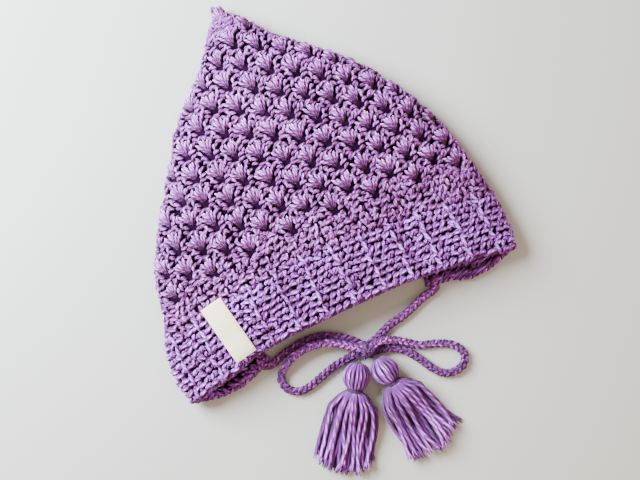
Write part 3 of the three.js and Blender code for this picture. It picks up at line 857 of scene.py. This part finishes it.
class HoodSizes(bpy.types.PropertyGroup):
    yarn: FloatProperty(
        name="Yarn", description="Thickness of a strand in the puffs",
        default=0.0025, unit="LENGTH",
    )
    puff_pitch: FloatProperty(
        name="Puff pitch", description="From one puff to the next in its row",
        default=0.0287, unit="LENGTH",
    )
    puff_rise: FloatProperty(
        name="Puff rise", description="From one row of puffs to the next",
        default=0.0083, unit="LENGTH",
    )
    stitch_pitch: FloatProperty(
        name="Stitch pitch", description="Width of a plain stitch in the band",
        default=0.0050, unit="LENGTH",
    )
    band_rows: IntProperty(name="Band rows", description="Rows of stitches in the band", default=9)
    cord: FloatProperty(
        name="Cord", description="Thickness of the ties", default=0.0052, unit="LENGTH",
    )
    skirt: FloatProperty(
        name="Tassel skirt", description="Length of a tassel's loose yarns",
        default=0.0510, unit="LENGTH",
    )
    tassel_yarns: IntProperty(
        name="Tassel yarns", description="Loose yarns in each tassel", default=32,
    )


class HoodColours(bpy.types.PropertyGroup):
    # painted highlight: the yarn's colour where light falls on its bulges
    yarn_highlight: FloatVectorProperty(
        name="Yarn, bulge", description="Colour of the yarn where it stands proud",
        subtype="COLOR_GAMMA", default=(0.665, 0.375, 0.775),
    )
    yarn_middle: FloatVectorProperty(
        name="Yarn", description="Colour of the yarn",
        subtype="COLOR_GAMMA", default=(0.36, 0.135, 0.365),
    )
    # painted shade: the yarn's colour deep in a stitch, where shade falls
    yarn_shade: FloatVectorProperty(
        name="Yarn, depth", description="Colour of the yarn deep in a stitch",
        subtype="COLOR_GAMMA", default=(0.14, 0.04, 0.16),
    )
    cord: FloatVectorProperty(
        name="Cord yarn", description="Colour of the ties' and the bow's yarn",
        subtype="COLOR_GAMMA", default=(0.37, 0.165, 0.41),
    )
    tassel: FloatVectorProperty(
        name="Tassel yarn", description="Colour of the tassels' yarn",
        subtype="COLOR_GAMMA", default=(0.395, 0.17, 0.475),
    )
    wrap: FloatVectorProperty(
        name="Neck yarn", description="Colour of the yarn wound round a tassel's neck",
        subtype="COLOR_GAMMA", default=(0.38, 0.24, 0.46),
    )
    label: FloatVectorProperty(
        name="Label", description="Colour of the label's cloth",
        subtype="COLOR_GAMMA", default=(0.925, 0.86, 0.74),
    )
    table: FloatVectorProperty(
        name="Tabletop", description="Colour of the tabletop",
        subtype="COLOR_GAMMA", default=(0.695, 0.69, 0.68),
    )


# ---- operators ----


def clear_selection():
    if bpy.context.object and bpy.context.object.mode != "OBJECT":
        bpy.ops.object.mode_set(mode="OBJECT")
    bpy.ops.object.select_all(action="DESELECT")


class HOOD_OT_stage(bpy.types.Operator):
    """Sets the tabletop, the soft light from the upper left and the camera"""

    bl_idname = "hood.stage"
    bl_label = "Stage"

    def execute(self, context):
        clear_selection()
        bpy.ops.mesh.primitive_plane_add(size=3.0, location=(0, 0, 0))
        table = context.object
        table.name = "tabletop"
        table.data.materials.append(floor_material("Tabletop", context.scene.hood_colours.table))
        world = bpy.data.worlds.new("Room")
        world.use_nodes = True
        light = world.node_tree.nodes["Background"].inputs
        light[0].default_value, light[1].default_value = ROOM_COLOUR, ROOM_STRENGTH
        context.scene.world = world
        for name, way, energy, size, colour in LIGHTS:
            light = bpy.data.lights.new(name, "POINT")
            light.energy, light.shadow_soft_size, light.color = energy, size, colour
            lamp = bpy.data.objects.new(name, light)
            context.scene.collection.objects.link(lamp)
            beside = VIEW_MIDDLE + VIEW_RIGHT * way[0] + VIEW_AHEAD * way[1]
            lamp.location = beside + Vector((0, 0, way[2]))
        lens = bpy.data.cameras.new("camera")
        lens.lens, lens.sensor_width = 50.0, 36.0
        camera = bpy.data.objects.new("camera", lens)
        context.scene.collection.objects.link(camera)
        back = Vector((0, 0, 1)) * math.cos(VIEW_TILT) - VIEW_AHEAD * math.sin(VIEW_TILT)
        back.normalize()
        up = back.cross(VIEW_RIGHT).normalized()
        turned = Matrix((VIEW_RIGHT, up, back)).transposed().to_4x4()
        camera.matrix_world = Matrix.Translation(VIEW_MIDDLE + back * VIEW_DISTANCE) @ turned
        context.scene.camera = camera
        return {"FINISHED"}


def plait(path, wide, thick, shading_tone=0.75, seed=1, phase=0.0, dark=0.75):
    """A cord of three strands that cross in turn, as in a crocheted chain."""
    rng = np.random.default_rng(seed)
    n, b, _ = frames(path)
    period = 11.5
    out = []
    for i in range(3):
        turn = 2 * math.pi * (run_of(path) / period + i / 3 + phase)
        side = (wide - thick) / 2 * np.sin(turn)
        high = (wide - thick) / 2 * 0.62 * np.sin(2 * turn)
        line = path + b * side[:, None] + n * high[:, None]
        # painted light and shade: each strand lighter where it rides high, darker where it dips and
        # where it swings to the side
        shade = shading_tone + 0.22 * np.sin(2 * turn) - 0.12 * np.abs(np.sin(turn))
        radius = np.full(len(line), thick / 2) * (1 + 0.06 * np.sin(turn * 1.7))
        tint = rng.uniform(0.3, 0.7)
        # dark is the share of painted shade on each strand's lower side
        out.append(strand(line, radius, sides=6, shading_tone=shade, tint=tint, shade=dark))
    return out


def row_points(points):
    return np.array(points, float) - DRAWN_AT


def heading_of(angle):
    """The way that an angle in degrees points on the table, and the way to its left."""
    a = math.radians(angle)
    return np.array([math.cos(a), math.sin(a), 0.0]), np.array([-math.sin(a), math.cos(a), 0.0])


class HOOD_OT_ties(bpy.types.Operator):
    """Plaits the two ties and the bow's two loops along their routes, and winds the knot"""

    bl_idname = "hood.ties"
    bl_label = "Ties and bow"

    def execute(self, context):
        wide = context.scene.hood_sizes.cord / MM
        yarn = Yarn()
        centre = row_points([KNOT_AT])[0]
        turn = np.linspace(-0.62 * math.pi, 0.62 * math.pi, 15)
        for k, (heading, lean, out, long) in enumerate(KNOT_TURNS):
            way, side = heading_of(heading)
            line = (
                centre
                + np.outer(np.sin(turn), way) * long * 0.62
                + np.outer(np.cos(turn), (0, 0, 1)) * out
                + np.outer(np.sin(turn * 1.3) * lean * 3.0 + (k - 1.5) * 0.9, side)
            )
            line = spline(line, step=0.7)
            yarn.add(*plait(line, 4.9, 2.3, shading_tone=0.8, seed=50 + k, phase=k * 0.21))
        yarn_piece("bow_knot_cord", yarn, cord_yarn(), ["bow_knot"], lowest=0.1)
        for name, points, seed, riding in (
            ("tie_left", TIE_LEFT, 3, "bow_knot_cord"),
            ("tie_right", TIE_RIGHT, 4, "bow_knot_cord"),
            ("loop_left", LOOP_LEFT, 5, "tassel_left_yarns"),
            ("loop_right", LOOP_RIGHT, 6, "tassel_right_yarns"),
        ):
            path = spline(row_points(points), step=0.75)
            yarn = Yarn(*plait(path, wide + 0.6, 2.7, seed=seed, phase=0.13 * seed))
            piece = yarn_piece(name + "_cord", yarn, cord_yarn(), [name], lowest=0.1)
        return {"FINISHED"}


class HOOD_OT_tassels(bpy.types.Operator):
    """Makes each tassel: a ball of folded yarns, the yarn round its neck and its loose skirt"""

    bl_idname = "hood.tassels"
    bl_label = "Tassels"

    def execute(self, context):
        sizes, colours = context.scene.hood_sizes, context.scene.hood_colours
        # each ramp runs from a painted shade through the yarn's colour to a painted highlight
        fluffy = yarn_material(
            "Tassel yarn", [0.22 * c for c in colours.tassel], [0.80 * c for c in colours.tassel],
            [min(1.0, 1.2 * c) for c in colours.tassel], pitch=7.5, fuzz=0.12, bump=0.6, highlight_lift=0.22,
        )
        wound = yarn_material(
            "Neck yarn", [0.4 * c for c in colours.wrap], colours.wrap,
            [min(1.0, 1.5 * c) for c in colours.wrap],
        )
        for name, (spot, heading, seed) in TASSELS.items():
            rng = np.random.default_rng(seed)
            centre = np.array([*spot, BALL_UP]) - DRAWN_AT
            ways_there = (centre, *heading_of(heading), np.array([0.0, 0.0, 1.0]))
            yarn = Yarn()
            self.ball(yarn, rng, *ways_there)
            self.skirt(yarn, rng, sizes.skirt / MM, sizes.tassel_yarns, *ways_there)
            yarn_piece(name + "_yarns", yarn, fluffy, [name], lowest=0.1)
            neck = Yarn(self.neck(*ways_there))
            yarn_piece(name + "_neck", neck, wound, [name + "_wrap"], lowest=0.1)
        return {"FINISHED"}

    @staticmethod
    def ball(yarn, rng, centre, way, side, up):
        """Yarns folded over the cord, from the crown of the ball to the neck, round a core painted
        dark as shade.
        """
        count = 20
        for i in range(count):
            angle = 2 * math.pi * i / count + rng.uniform(-0.06, 0.06)
            out = math.cos(angle) * side + math.sin(angle) * up
            t = np.linspace(0.06, 0.90, 16) * math.pi
            line = (
                centre
                - np.outer(np.cos(t), way) * BALL_LONG
                + np.outer(np.sin(t) ** 0.86, out) * BALL_WIDE * rng.uniform(0.96, 1.03)
            )
            line = np.vstack([line, centre + way * 9.6 + out * 3.4])
            hump = np.sin(np.linspace(0, math.pi, len(line)))
            line = line + np.outer(hump * rng.uniform(-1.1, 1.1), np.cross(way, out))
            slim = 0.56 + 0.44 * np.sin(np.linspace(0.06, 0.95, len(line)) * math.pi)
            radius = rng.uniform(1.15, 1.32) * slim
            # a painted highlight over the top of each fold, on a tone that differs at random
            pale = rng.uniform(0.45, 0.65) + 0.35 * hump
            yarn.add(strand(line, radius, sides=8, up=out, shading_tone=pale, tint=rng.uniform(0, 1)))
        # the core is painted dark as shade, which shows between the yarns
        core = np.linspace(-7.0, 8.6, 12)
        radius = np.sqrt(np.maximum(0.6, 1 - (core / 8.7) ** 2 * 0.98)) * 6.9
        yarn.add(strand(centre + np.outer(core, way), radius, sides=14, shading_tone=0.12))

    @staticmethod
    def skirt(yarn, rng, skirt, total, centre, way, side, up):
        """Yarns that swell out from the neck like a bell and lie down, with frayed ends."""
        t = np.linspace(0, 1, 17)
        bell = np.minimum(1.0, t / 0.26) ** 0.62 * 0.66 + 0.34 * t ** 1.2
        for layer, (part, rest, rise, bright) in enumerate(SKIRT_LAYERS):
            many = round(total * part)
            for i in range(many):
                share = (i + 0.5 + rng.uniform(-0.3, 0.3)) / many * 2 - 1
                share = float(np.clip(share * (1.0 - 0.06 * layer), -1, 1))
                long = skirt * (1.0 - 0.13 * share ** 2 + rng.uniform(-0.05, 0.04))
                wave = rng.uniform(0.9, 2.9) * np.sin(
                    t * rng.uniform(3.0, 6.0) + rng.uniform(0, 6)
                ) * t ** 0.8
                wide = share * (2.8 + 18.0 * bell) + wave
                # from its shoulder over the neck it comes down to where its layer rests
                shoulder = BALL_UP + rise * math.sqrt(max(0.05, 1 - share ** 2))
                low = rest * (1 - 0.3 * abs(share)) + 0.3
                hump = np.sin(np.minimum(t * 2.2, 1) * math.pi)
                high = shoulder + (1.6 * layer) * hump * (1 - abs(share))
                high = high + (low - shoulder) * np.clip((t - 0.06) * 1.7, 0, 1) ** 1.3
                high = np.maximum(high + rng.uniform(-0.4, 0.5) * t, 1.5)
                line = (
                    centre - up * BALL_UP + np.outer(9.0 + long * t * (1 - 0.02 * share ** 2), way)
                    + np.outer(wide, side) + np.outer(high, up)
                )
                line = spline(line, step=1.3)
                # painted shade near the neck, lighter towards the ends, scaled by the layer's
                # painted light
                pale = 0.66 + 0.34 * np.sin(np.linspace(0.2, 1, len(line)) * math.pi / 2)
                pale = bright * rng.uniform(0.88, 1.08) * pale
                tint = rng.uniform(0, 1)
                swell = 1 + 0.05 * np.sin(np.arange(len(line)) * 0.9 + rng.uniform(0, 6))
                radius = 1.42 * swell * rounded(len(line), 0.6, 2)
                yarn.add(strand(line, radius, shading_tone=pale, tint=tint, shade=0.75))
                # the frayed end: a few loose plies
                n, b, ahead = frames(line)
                for _ in range(4):
                    a = rng.uniform(0, 2 * math.pi)
                    off = n[-3] * math.cos(a) + b[-3] * math.sin(a)
                    root = line[-4] + off * 0.7
                    tip = line[-1] + off * rng.uniform(0.8, 2.2)
                    tip = tip + ahead[-1] * rng.uniform(0.6, 3.2)
                    bent = (root + tip) / 2 + off * rng.uniform(-0.3, 0.7)
                    yarn.add(strand(
                        spline([root, bent, tip], count=6), np.linspace(0.62, 0.30, 6), sides=5,
                        shading_tone=pale[-1], tint=rng.uniform(0, 1), shade=0.4,
                    ))

    @staticmethod
    def neck(centre, way, side, up):
        """Dark yarn wound three times round the neck."""
        turn = np.linspace(0, 2 * math.pi * 3.2, 110)
        line = (
            centre + np.outer(np.linspace(8.4, 10.4, 110), way)
            + np.outer(np.cos(turn), side) * 4.5 + np.outer(np.sin(turn), up) * 4.5
        )
        return strand(line, 0.75, sides=6, up=way, shading_tone=0.5)


class HOOD_OT_ground(bpy.types.Operator):
    """Makes the close fabric under the stitches from the crown's and the band's walls"""

    bl_idname = "hood.ground"
    bl_label = "Ground fabric"

    def execute(self, context):
        shade_colour = context.scene.hood_colours.yarn_shade
        # the ground is painted as shade, darker than the yarn, so the gaps between stitches read as
        # shaded
        material = ground_material(
            "Ground fabric", [0.4 * c for c in shade_colour], [0.8 * c for c in shade_colour]
        )
        for name in ("crown", "band"):
            clear_selection()
            source = frame["nodes"][name]
            copy = source.copy()
            copy.data = source.data.copy()
            copy.name = name + "_ground"
            copy.parent = None
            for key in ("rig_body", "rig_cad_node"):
                if key in copy:
                    del copy[key]
            context.scene.collection.objects.link(copy)
            context.view_layer.objects.active = copy
            copy.select_set(True)
            copy.hide_render = copy.hide_viewport = False
            bpy.ops.object.mode_set(mode="EDIT")
            bpy.ops.mesh.select_all(action="SELECT")
            bpy.ops.mesh.remove_doubles(threshold=0.00002)
            bpy.ops.transform.shrink_fatten(value=-GROUND_DEPTH)
            bpy.ops.object.mode_set(mode="OBJECT")
            bpy.ops.object.shade_smooth()
            copy.data.materials.clear()
            copy.data.materials.append(material)
            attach(copy, "root")
            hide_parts(name)
        return {"FINISHED"}


def clear_of_face(placed, margin):
    """Whether a stitch keeps clear of the face opening, grown by a margin."""
    x, y, z = placed.mean(axis=0)
    return z >= UPPER_STITCHES or not in_face(x, y, margin)


def outside_face(placed):
    return clear_of_face(placed, 1.0)


def inner_face(placed):
    """The inner face's stitches stay further from the opening."""
    return clear_of_face(placed, 3.6)


class HOOD_OT_crown(bpy.types.Operator):
    """Lays the crown's puffs in offset rows, with the loops between them"""

    bl_idname = "hood.crown"
    bl_label = "Crown stitches"

    def execute(self, context):
        sizes = context.scene.hood_sizes
        thick, pitch, rise = sizes.yarn / MM, sizes.puff_pitch / MM, sizes.puff_rise / MM
        rng = np.random.default_rng(11)
        puffs, loops = ways(6, puff, rng, thick), ways(6, between, rng, thick)
        plain = ways(5, vee, rng, thick * 1.04, 5.2)
        mixed = ways(5, lozenge, rng, thick * 1.1, 4.6)
        surface = hood_surface()
        lower, upper, below, inner = Yarn(), Yarn(), Yarn(), Yarn()
        feet = []
        for r in range(-3, 15):
            y = -11.0 + r * rise
            if surface.length(min(y + 6, surface.y[-1])) < 34:
                break
            for s, spread, under in round_places(y, pitch, 0.34 * r - (18.0 if r % 2 else 4.2)):
                x = surface.at(s, y, 0.0)[0]
                s = s + rng.uniform(-0.7, 0.7)
                yy = y - 0.0008 * (x + 10) ** 2 + rng.uniform(-0.5, 0.5)
                part = below if under else lower if y < 6 else upper
                feet.append((s, yy))
                turn = rng.uniform(-0.16, 0.22)
                size = (spread * rng.uniform(0.90, 1.10), rng.uniform(0.93, 1.07))
                above = surface.length(min(yy + 12, surface.y[-1]))
                narrow = min(1.0, (above + 14) / (surface.length(yy) + 1))
                slim = (size[0] * max(0.7, narrow), size[1])
                for one in pick(rng, puffs):
                    lay(part, one, s, yy, turn, slim, keep=outside_face)
                for one in pick(rng, loops):
                    lay(part, one, s, yy, turn, size, keep=outside_face)
        self.close_peak(rng, upper, plain, thick)
        # plain rows fill what is left between the band and the first puffs
        feet = np.array(feet)
        for k in range(10):
            whole = surface.length(SEAM_RING)
            count = round(whole / 4.9)
            for i in range(count):
                s = (i + 0.5 * (k % 2)) * whole / count
                s = s if s < whole / 2 else s - whole
                here = surface.at(s, SEAM_RING, 0.0)
                y = seam_y(here[0]) + 0.2 + 4.5 * k
                far = np.abs(feet[:, 0] - s)
                above = y + 2.5 - feet[:, 1]
                taken = np.any((far < 6.6) & (above > -1.0)) or np.any((far < 15) & (above > 7))
                if k > 0 and taken:
                    continue
                part = below if here[2] < LOWER_LAYER else lower
                for one in pick(rng, plain if rng.uniform() < 0.6 else mixed):
                    lay(
                        part, one, s + rng.uniform(-0.6, 0.6), y + rng.uniform(-0.6, 0.6),
                        rng.uniform(-0.6, 0.6), (1, rng.uniform(0.95, 1.15)),
                        lift=rng.uniform(-0.4, 0.4), keep=outside_face,
                    )
        # plain rows on the inner face, which the mouth and the face opening show, dimmed as painted
        # shade
        for k in range(30):
            y = seam_y(10.0) - 12.0 + 5.0 * k
            left, right = surface.fold(y)
            for s in np.arange(left + 6.0 + 2.6 * (k % 2), right - 6.0, 5.2):
                if y < seam_y(surface.at(s, y, 0.0)[0]) or y > INNER_TOP:
                    continue
                for one in pick(rng, plain)[:2]:
                    lay(
                        inner, one, s + rng.uniform(-0.5, 0.5), y + rng.uniform(-0.4, 0.4),
                        rng.uniform(-0.3, 0.3), lift=rng.uniform(-0.3, 0.3), inside=True, inside_shade=0.8,
                    )
        for name, part in (
            ("crown_stitches_inside", inner), ("crown_puffs_lower_rows", lower),
            ("crown_puffs_upper_rows", upper), ("crown_puffs_underside", below),
        ):
            yarn_piece(name, part, hood_yarn(), ["crown"])
        return {"FINISHED"}

    @staticmethod
    def close_peak(rng, yarn, plain, thick):
        """Closes the peak with small plain stitches, and with strands across its last ring."""
        surface = hood_surface()
        for k, y in enumerate((98.0, 102.0, 105.5, 108.5, 111.0, PEAK_RING)):
            whole = surface.length(y)
            count = max(4, round(whole / 4.4))
            for i in range(count):
                s = (i + 0.5 * (k % 2)) * whole / count
                for one in pick(rng, plain):
                    lay(
                        yarn, one, s + rng.uniform(-0.6, 0.6), y + rng.uniform(-0.6, 0.6),
                        rng.uniform(-0.5, 0.5), (0.92, rng.uniform(0.8, 1.0)),
                        lift=rng.uniform(-0.7, 0.3),
                    )
        s = np.arange(40) / 40 * surface.length(PEAK_RING)
        ring = surface.at(s, PEAK_RING, -1.2)
        lift = (0, 0.7, 0)
        for level in np.arange(ring[:, 2].min() + 0.6, ring[:, 2].max(), 1.9):
            near = ring[np.abs(ring[:, 2] - level) < 1.6]
            a, b = near[np.argmin(near[:, 0])], near[np.argmax(near[:, 0])]
            middle = (a + b) / 2 + (0, 2.2 + rng.uniform(-0.3, 0.3), 0)
            line = [a, (a + middle) / 2 + lift, middle, (b + middle) / 2 + lift, b]
            yarn.add(strand(
                spline(line, count=10), thick * 0.5, up=(0, 1, 0.3), shading_tone=0.85,
                tint=rng.uniform(0, 1), shade=0.5,
            ))


class HOOD_OT_band(bpy.types.Operator):
    """Lays the band's rows of plain stitches and its raised ribs, outside and inside"""

    bl_idname = "hood.band"
    bl_label = "Band stitches"

    def execute(self, context):
        sizes = context.scene.hood_sizes
        thick, pitch, rows = sizes.yarn / MM, sizes.stitch_pitch / MM, sizes.band_rows
        rng = np.random.default_rng(23)
        high = BAND_DEPTH / rows
        plain = []
        for _ in range(3):
            plain += ways(1, vee, rng, thick, high * 1.15)
            plain += ways(2, lozenge, rng, thick * 1.14, high)
        posts = ways(9, post, rng, thick * 0.97, 2 * high)
        surface = hood_surface()
        places = sorted(round_places(BAND_RING, pitch, FIRST_RIB))
        for face, inside in (("outside", False), ("inside", True)):
            yarn = Yarn()
            # the inner face's stitches are dimmed as painted shade
            inside_shade, keep = (0.8, inner_face) if inside else (1.0, outside_face)
            for s, spread, _ in places:
                here = surface.at(s, BAND_RING, 0.0)
                low, top = mouth_y(here[0], here[2] < LOWER_LAYER), seam_y(here[0])
                rib = round((s - FIRST_RIB) / pitch) % 4 == 0 and not inside
                sunk = 0.9 if rib else 0.0
                stretch = (top - low) / rows / high
                for r in range(rows):
                    y = low + (top - low) * (r + 0.2) / rows
                    aside = pitch * (0.25 if r % 2 else -0.25)
                    for one in pick(rng, plain):
                        lay(
                            yarn, one, s + aside + rng.uniform(-0.5, 0.5),
                            y + rng.uniform(-0.3, 0.3), rng.uniform(-0.45, 0.45),
                            (spread * rng.uniform(0.95, 1.12), stretch * rng.uniform(0.95, 1.08)),
                            rng.uniform(-0.45, 0.45) - sunk, inside, inside_shade, keep,
                        )
                    if rib and r % 2 == 0:
                        for one in pick(rng, posts):
                            lay(
                                yarn, one, s + rng.uniform(-0.7, 0.7), y + rng.uniform(-0.6, 0.6),
                                rng.uniform(-0.12, 0.12), (1.0, stretch * rng.uniform(0.9, 1.1)),
                                lift=0.5, keep=keep,
                            )
            yarn_piece("band_stitches_" + face, yarn, band_yarn(), ["band"])
        return {"FINISHED"}


class HOOD_OT_edges(bpy.types.Operator):
    """Wraps the mouth's edge and the face opening's edge in one plaited row"""

    bl_idname = "hood.edges"
    bl_label = "Edges"

    def execute(self, context):
        thick = context.scene.hood_sizes.yarn / MM
        surface = hood_surface()
        # the mouth's edge, from the face opening's left side round over the top to its right
        whole = surface.length(MOUTH_RING)
        line = []
        for s in np.arange(-whole / 2, whole / 2, 1.5):
            x, _, z = surface.at(s, MOUTH_RING, 0.0)
            y = mouth_y(x, z < LOWER_LAYER)
            if z < LOWER_LAYER and in_face(x, y + 2, 1.0):
                if len(line) > 40:
                    break
                line = []
                continue
            line.append(surface.at(s, y + 1.2, -2.3))
        # then up the face opening's right side, over its arch and down its left side
        middle = FACE_MIDDLE - DRAWN_AT[0]
        spring = FACE_SPRING - DRAWN_AT[1]
        line = line[2:-2]
        line += [(middle + FACE_HALF, y, 2.6) for y in np.arange(line[-1][1] + 6.0, spring, 3.0)]
        line += [
            (middle + FACE_HALF * math.cos(a), spring + FACE_HALF * math.sin(a), 2.6)
            for a in np.linspace(0, math.pi, 62)
        ]
        line += [(middle - FACE_HALF, y, 2.6) for y in np.arange(spring, line[0][1] + 5.0, -3.0)]
        line.append(line[0])
        row = plait(spline(line, step=0.8), 4.6, thick * 0.95, shading_tone=0.8, seed=60, dark=0.4)
        yarn_piece("edge_stitches", Yarn(*row), band_yarn())
        return {"FINISHED"}


class HOOD_OT_label(bpy.types.Operator):
    """Sews the bare cloth label onto the band"""

    bl_idname = "hood.label"
    bl_label = "Label"

    def execute(self, context):
        clear_selection()
        low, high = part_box("label")
        middle = (low + high) / 2
        bpy.ops.mesh.primitive_cube_add(size=1.0, location=(0, 0, 0))
        label = context.object
        label.name = "label_cloth_piece"
        label.scale = LABEL_SIZE
        bpy.ops.object.transform_apply(location=False, rotation=False, scale=True)
        bpy.ops.object.mode_set(mode="EDIT")
        bpy.ops.mesh.select_all(action="SELECT")
        bpy.ops.mesh.subdivide(number_cuts=11)
        bpy.ops.object.mode_set(mode="OBJECT")
        bevel = label.modifiers.new("Edge", "BEVEL")
        bevel.width, bevel.segments, bevel.limit_method = 0.0003, 2, "ANGLE"
        bpy.ops.object.modifier_apply(modifier=bevel.name)
        mesh = label.data
        co = np.zeros(len(mesh.vertices) * 3)
        mesh.vertices.foreach_get("co", co)
        aside, along, up = (co.reshape(-1, 3) / MM).T
        x = middle.x / MM + aside * math.cos(LABEL_TURN) - along * math.sin(LABEL_TURN)
        y = middle.y / MM + aside * math.sin(LABEL_TURN) + along * math.cos(LABEL_TURN)
        # it lies over the stitches, with one gentle bend along it and its edges sewn down
        under = hood_surface().at(x - Surface.START, y, 0.0)[:, 2]
        bent = np.stack([np.ones(len(x)), aside, along, along ** 2], axis=1)
        fit = bent @ np.linalg.lstsq(bent, under, rcond=None)[0]
        dip = 0.8 * (aside / 7.5) ** 4 + 0.6 * (along / 20) ** 6
        z = fit + up + LABEL_LIFT - dip + 0.2 * np.sin(along * 0.31)
        mesh.vertices.foreach_set("co", (np.stack([x, y, z], axis=1) * MM).ravel())
        mesh.update()
        clear_selection()
        label.select_set(True)
        context.view_layer.objects.active = label
        bpy.ops.object.shade_smooth_by_angle(angle=math.radians(35))
        mesh.materials.append(cloth_material("Label cloth", context.scene.hood_colours.label))
        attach(label, "root")
        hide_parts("label")
        return {"FINISHED"}


class HOOD_PT_panel(bpy.types.Panel):
    """Lists the hood's sizes, colours and steps"""

    bl_idname = "HOOD_PT_panel"
    bl_label = "Pixie Hood"
    bl_space_type = "VIEW_3D"
    bl_region_type = "UI"
    bl_category = "Pixie Hood"

    def draw(self, context):
        for group in (context.scene.hood_sizes, context.scene.hood_colours):
            box = self.layout.box()
            for name in group.__annotations__:
                box.prop(group, name)
        for operator in OPERATORS:
            self.layout.operator(operator.bl_idname)


OPERATORS = (
    HOOD_OT_stage, HOOD_OT_tassels, HOOD_OT_ties, HOOD_OT_ground, HOOD_OT_crown, HOOD_OT_band,
    HOOD_OT_edges, HOOD_OT_label,
)
CLASSES = (HoodSizes, HoodColours, *OPERATORS, HOOD_PT_panel)


def register():
    for cls in CLASSES:
        bpy.utils.register_class(cls)
    bpy.types.Scene.hood_sizes = PointerProperty(type=HoodSizes)
    bpy.types.Scene.hood_colours = PointerProperty(type=HoodColours)


def unregister():
    del bpy.types.Scene.hood_colours
    del bpy.types.Scene.hood_sizes
    for cls in reversed(CLASSES):
        bpy.utils.unregister_class(cls)


def main():
    register()
    bpy.ops.hood.stage()
    bpy.ops.hood.tassels()
    bpy.ops.hood.ties()
    bpy.ops.hood.ground()
    bpy.ops.hood.crown()
    bpy.ops.hood.band()
    bpy.ops.hood.edges()
    bpy.ops.hood.label()


if __name__ == "__main__":
    main()
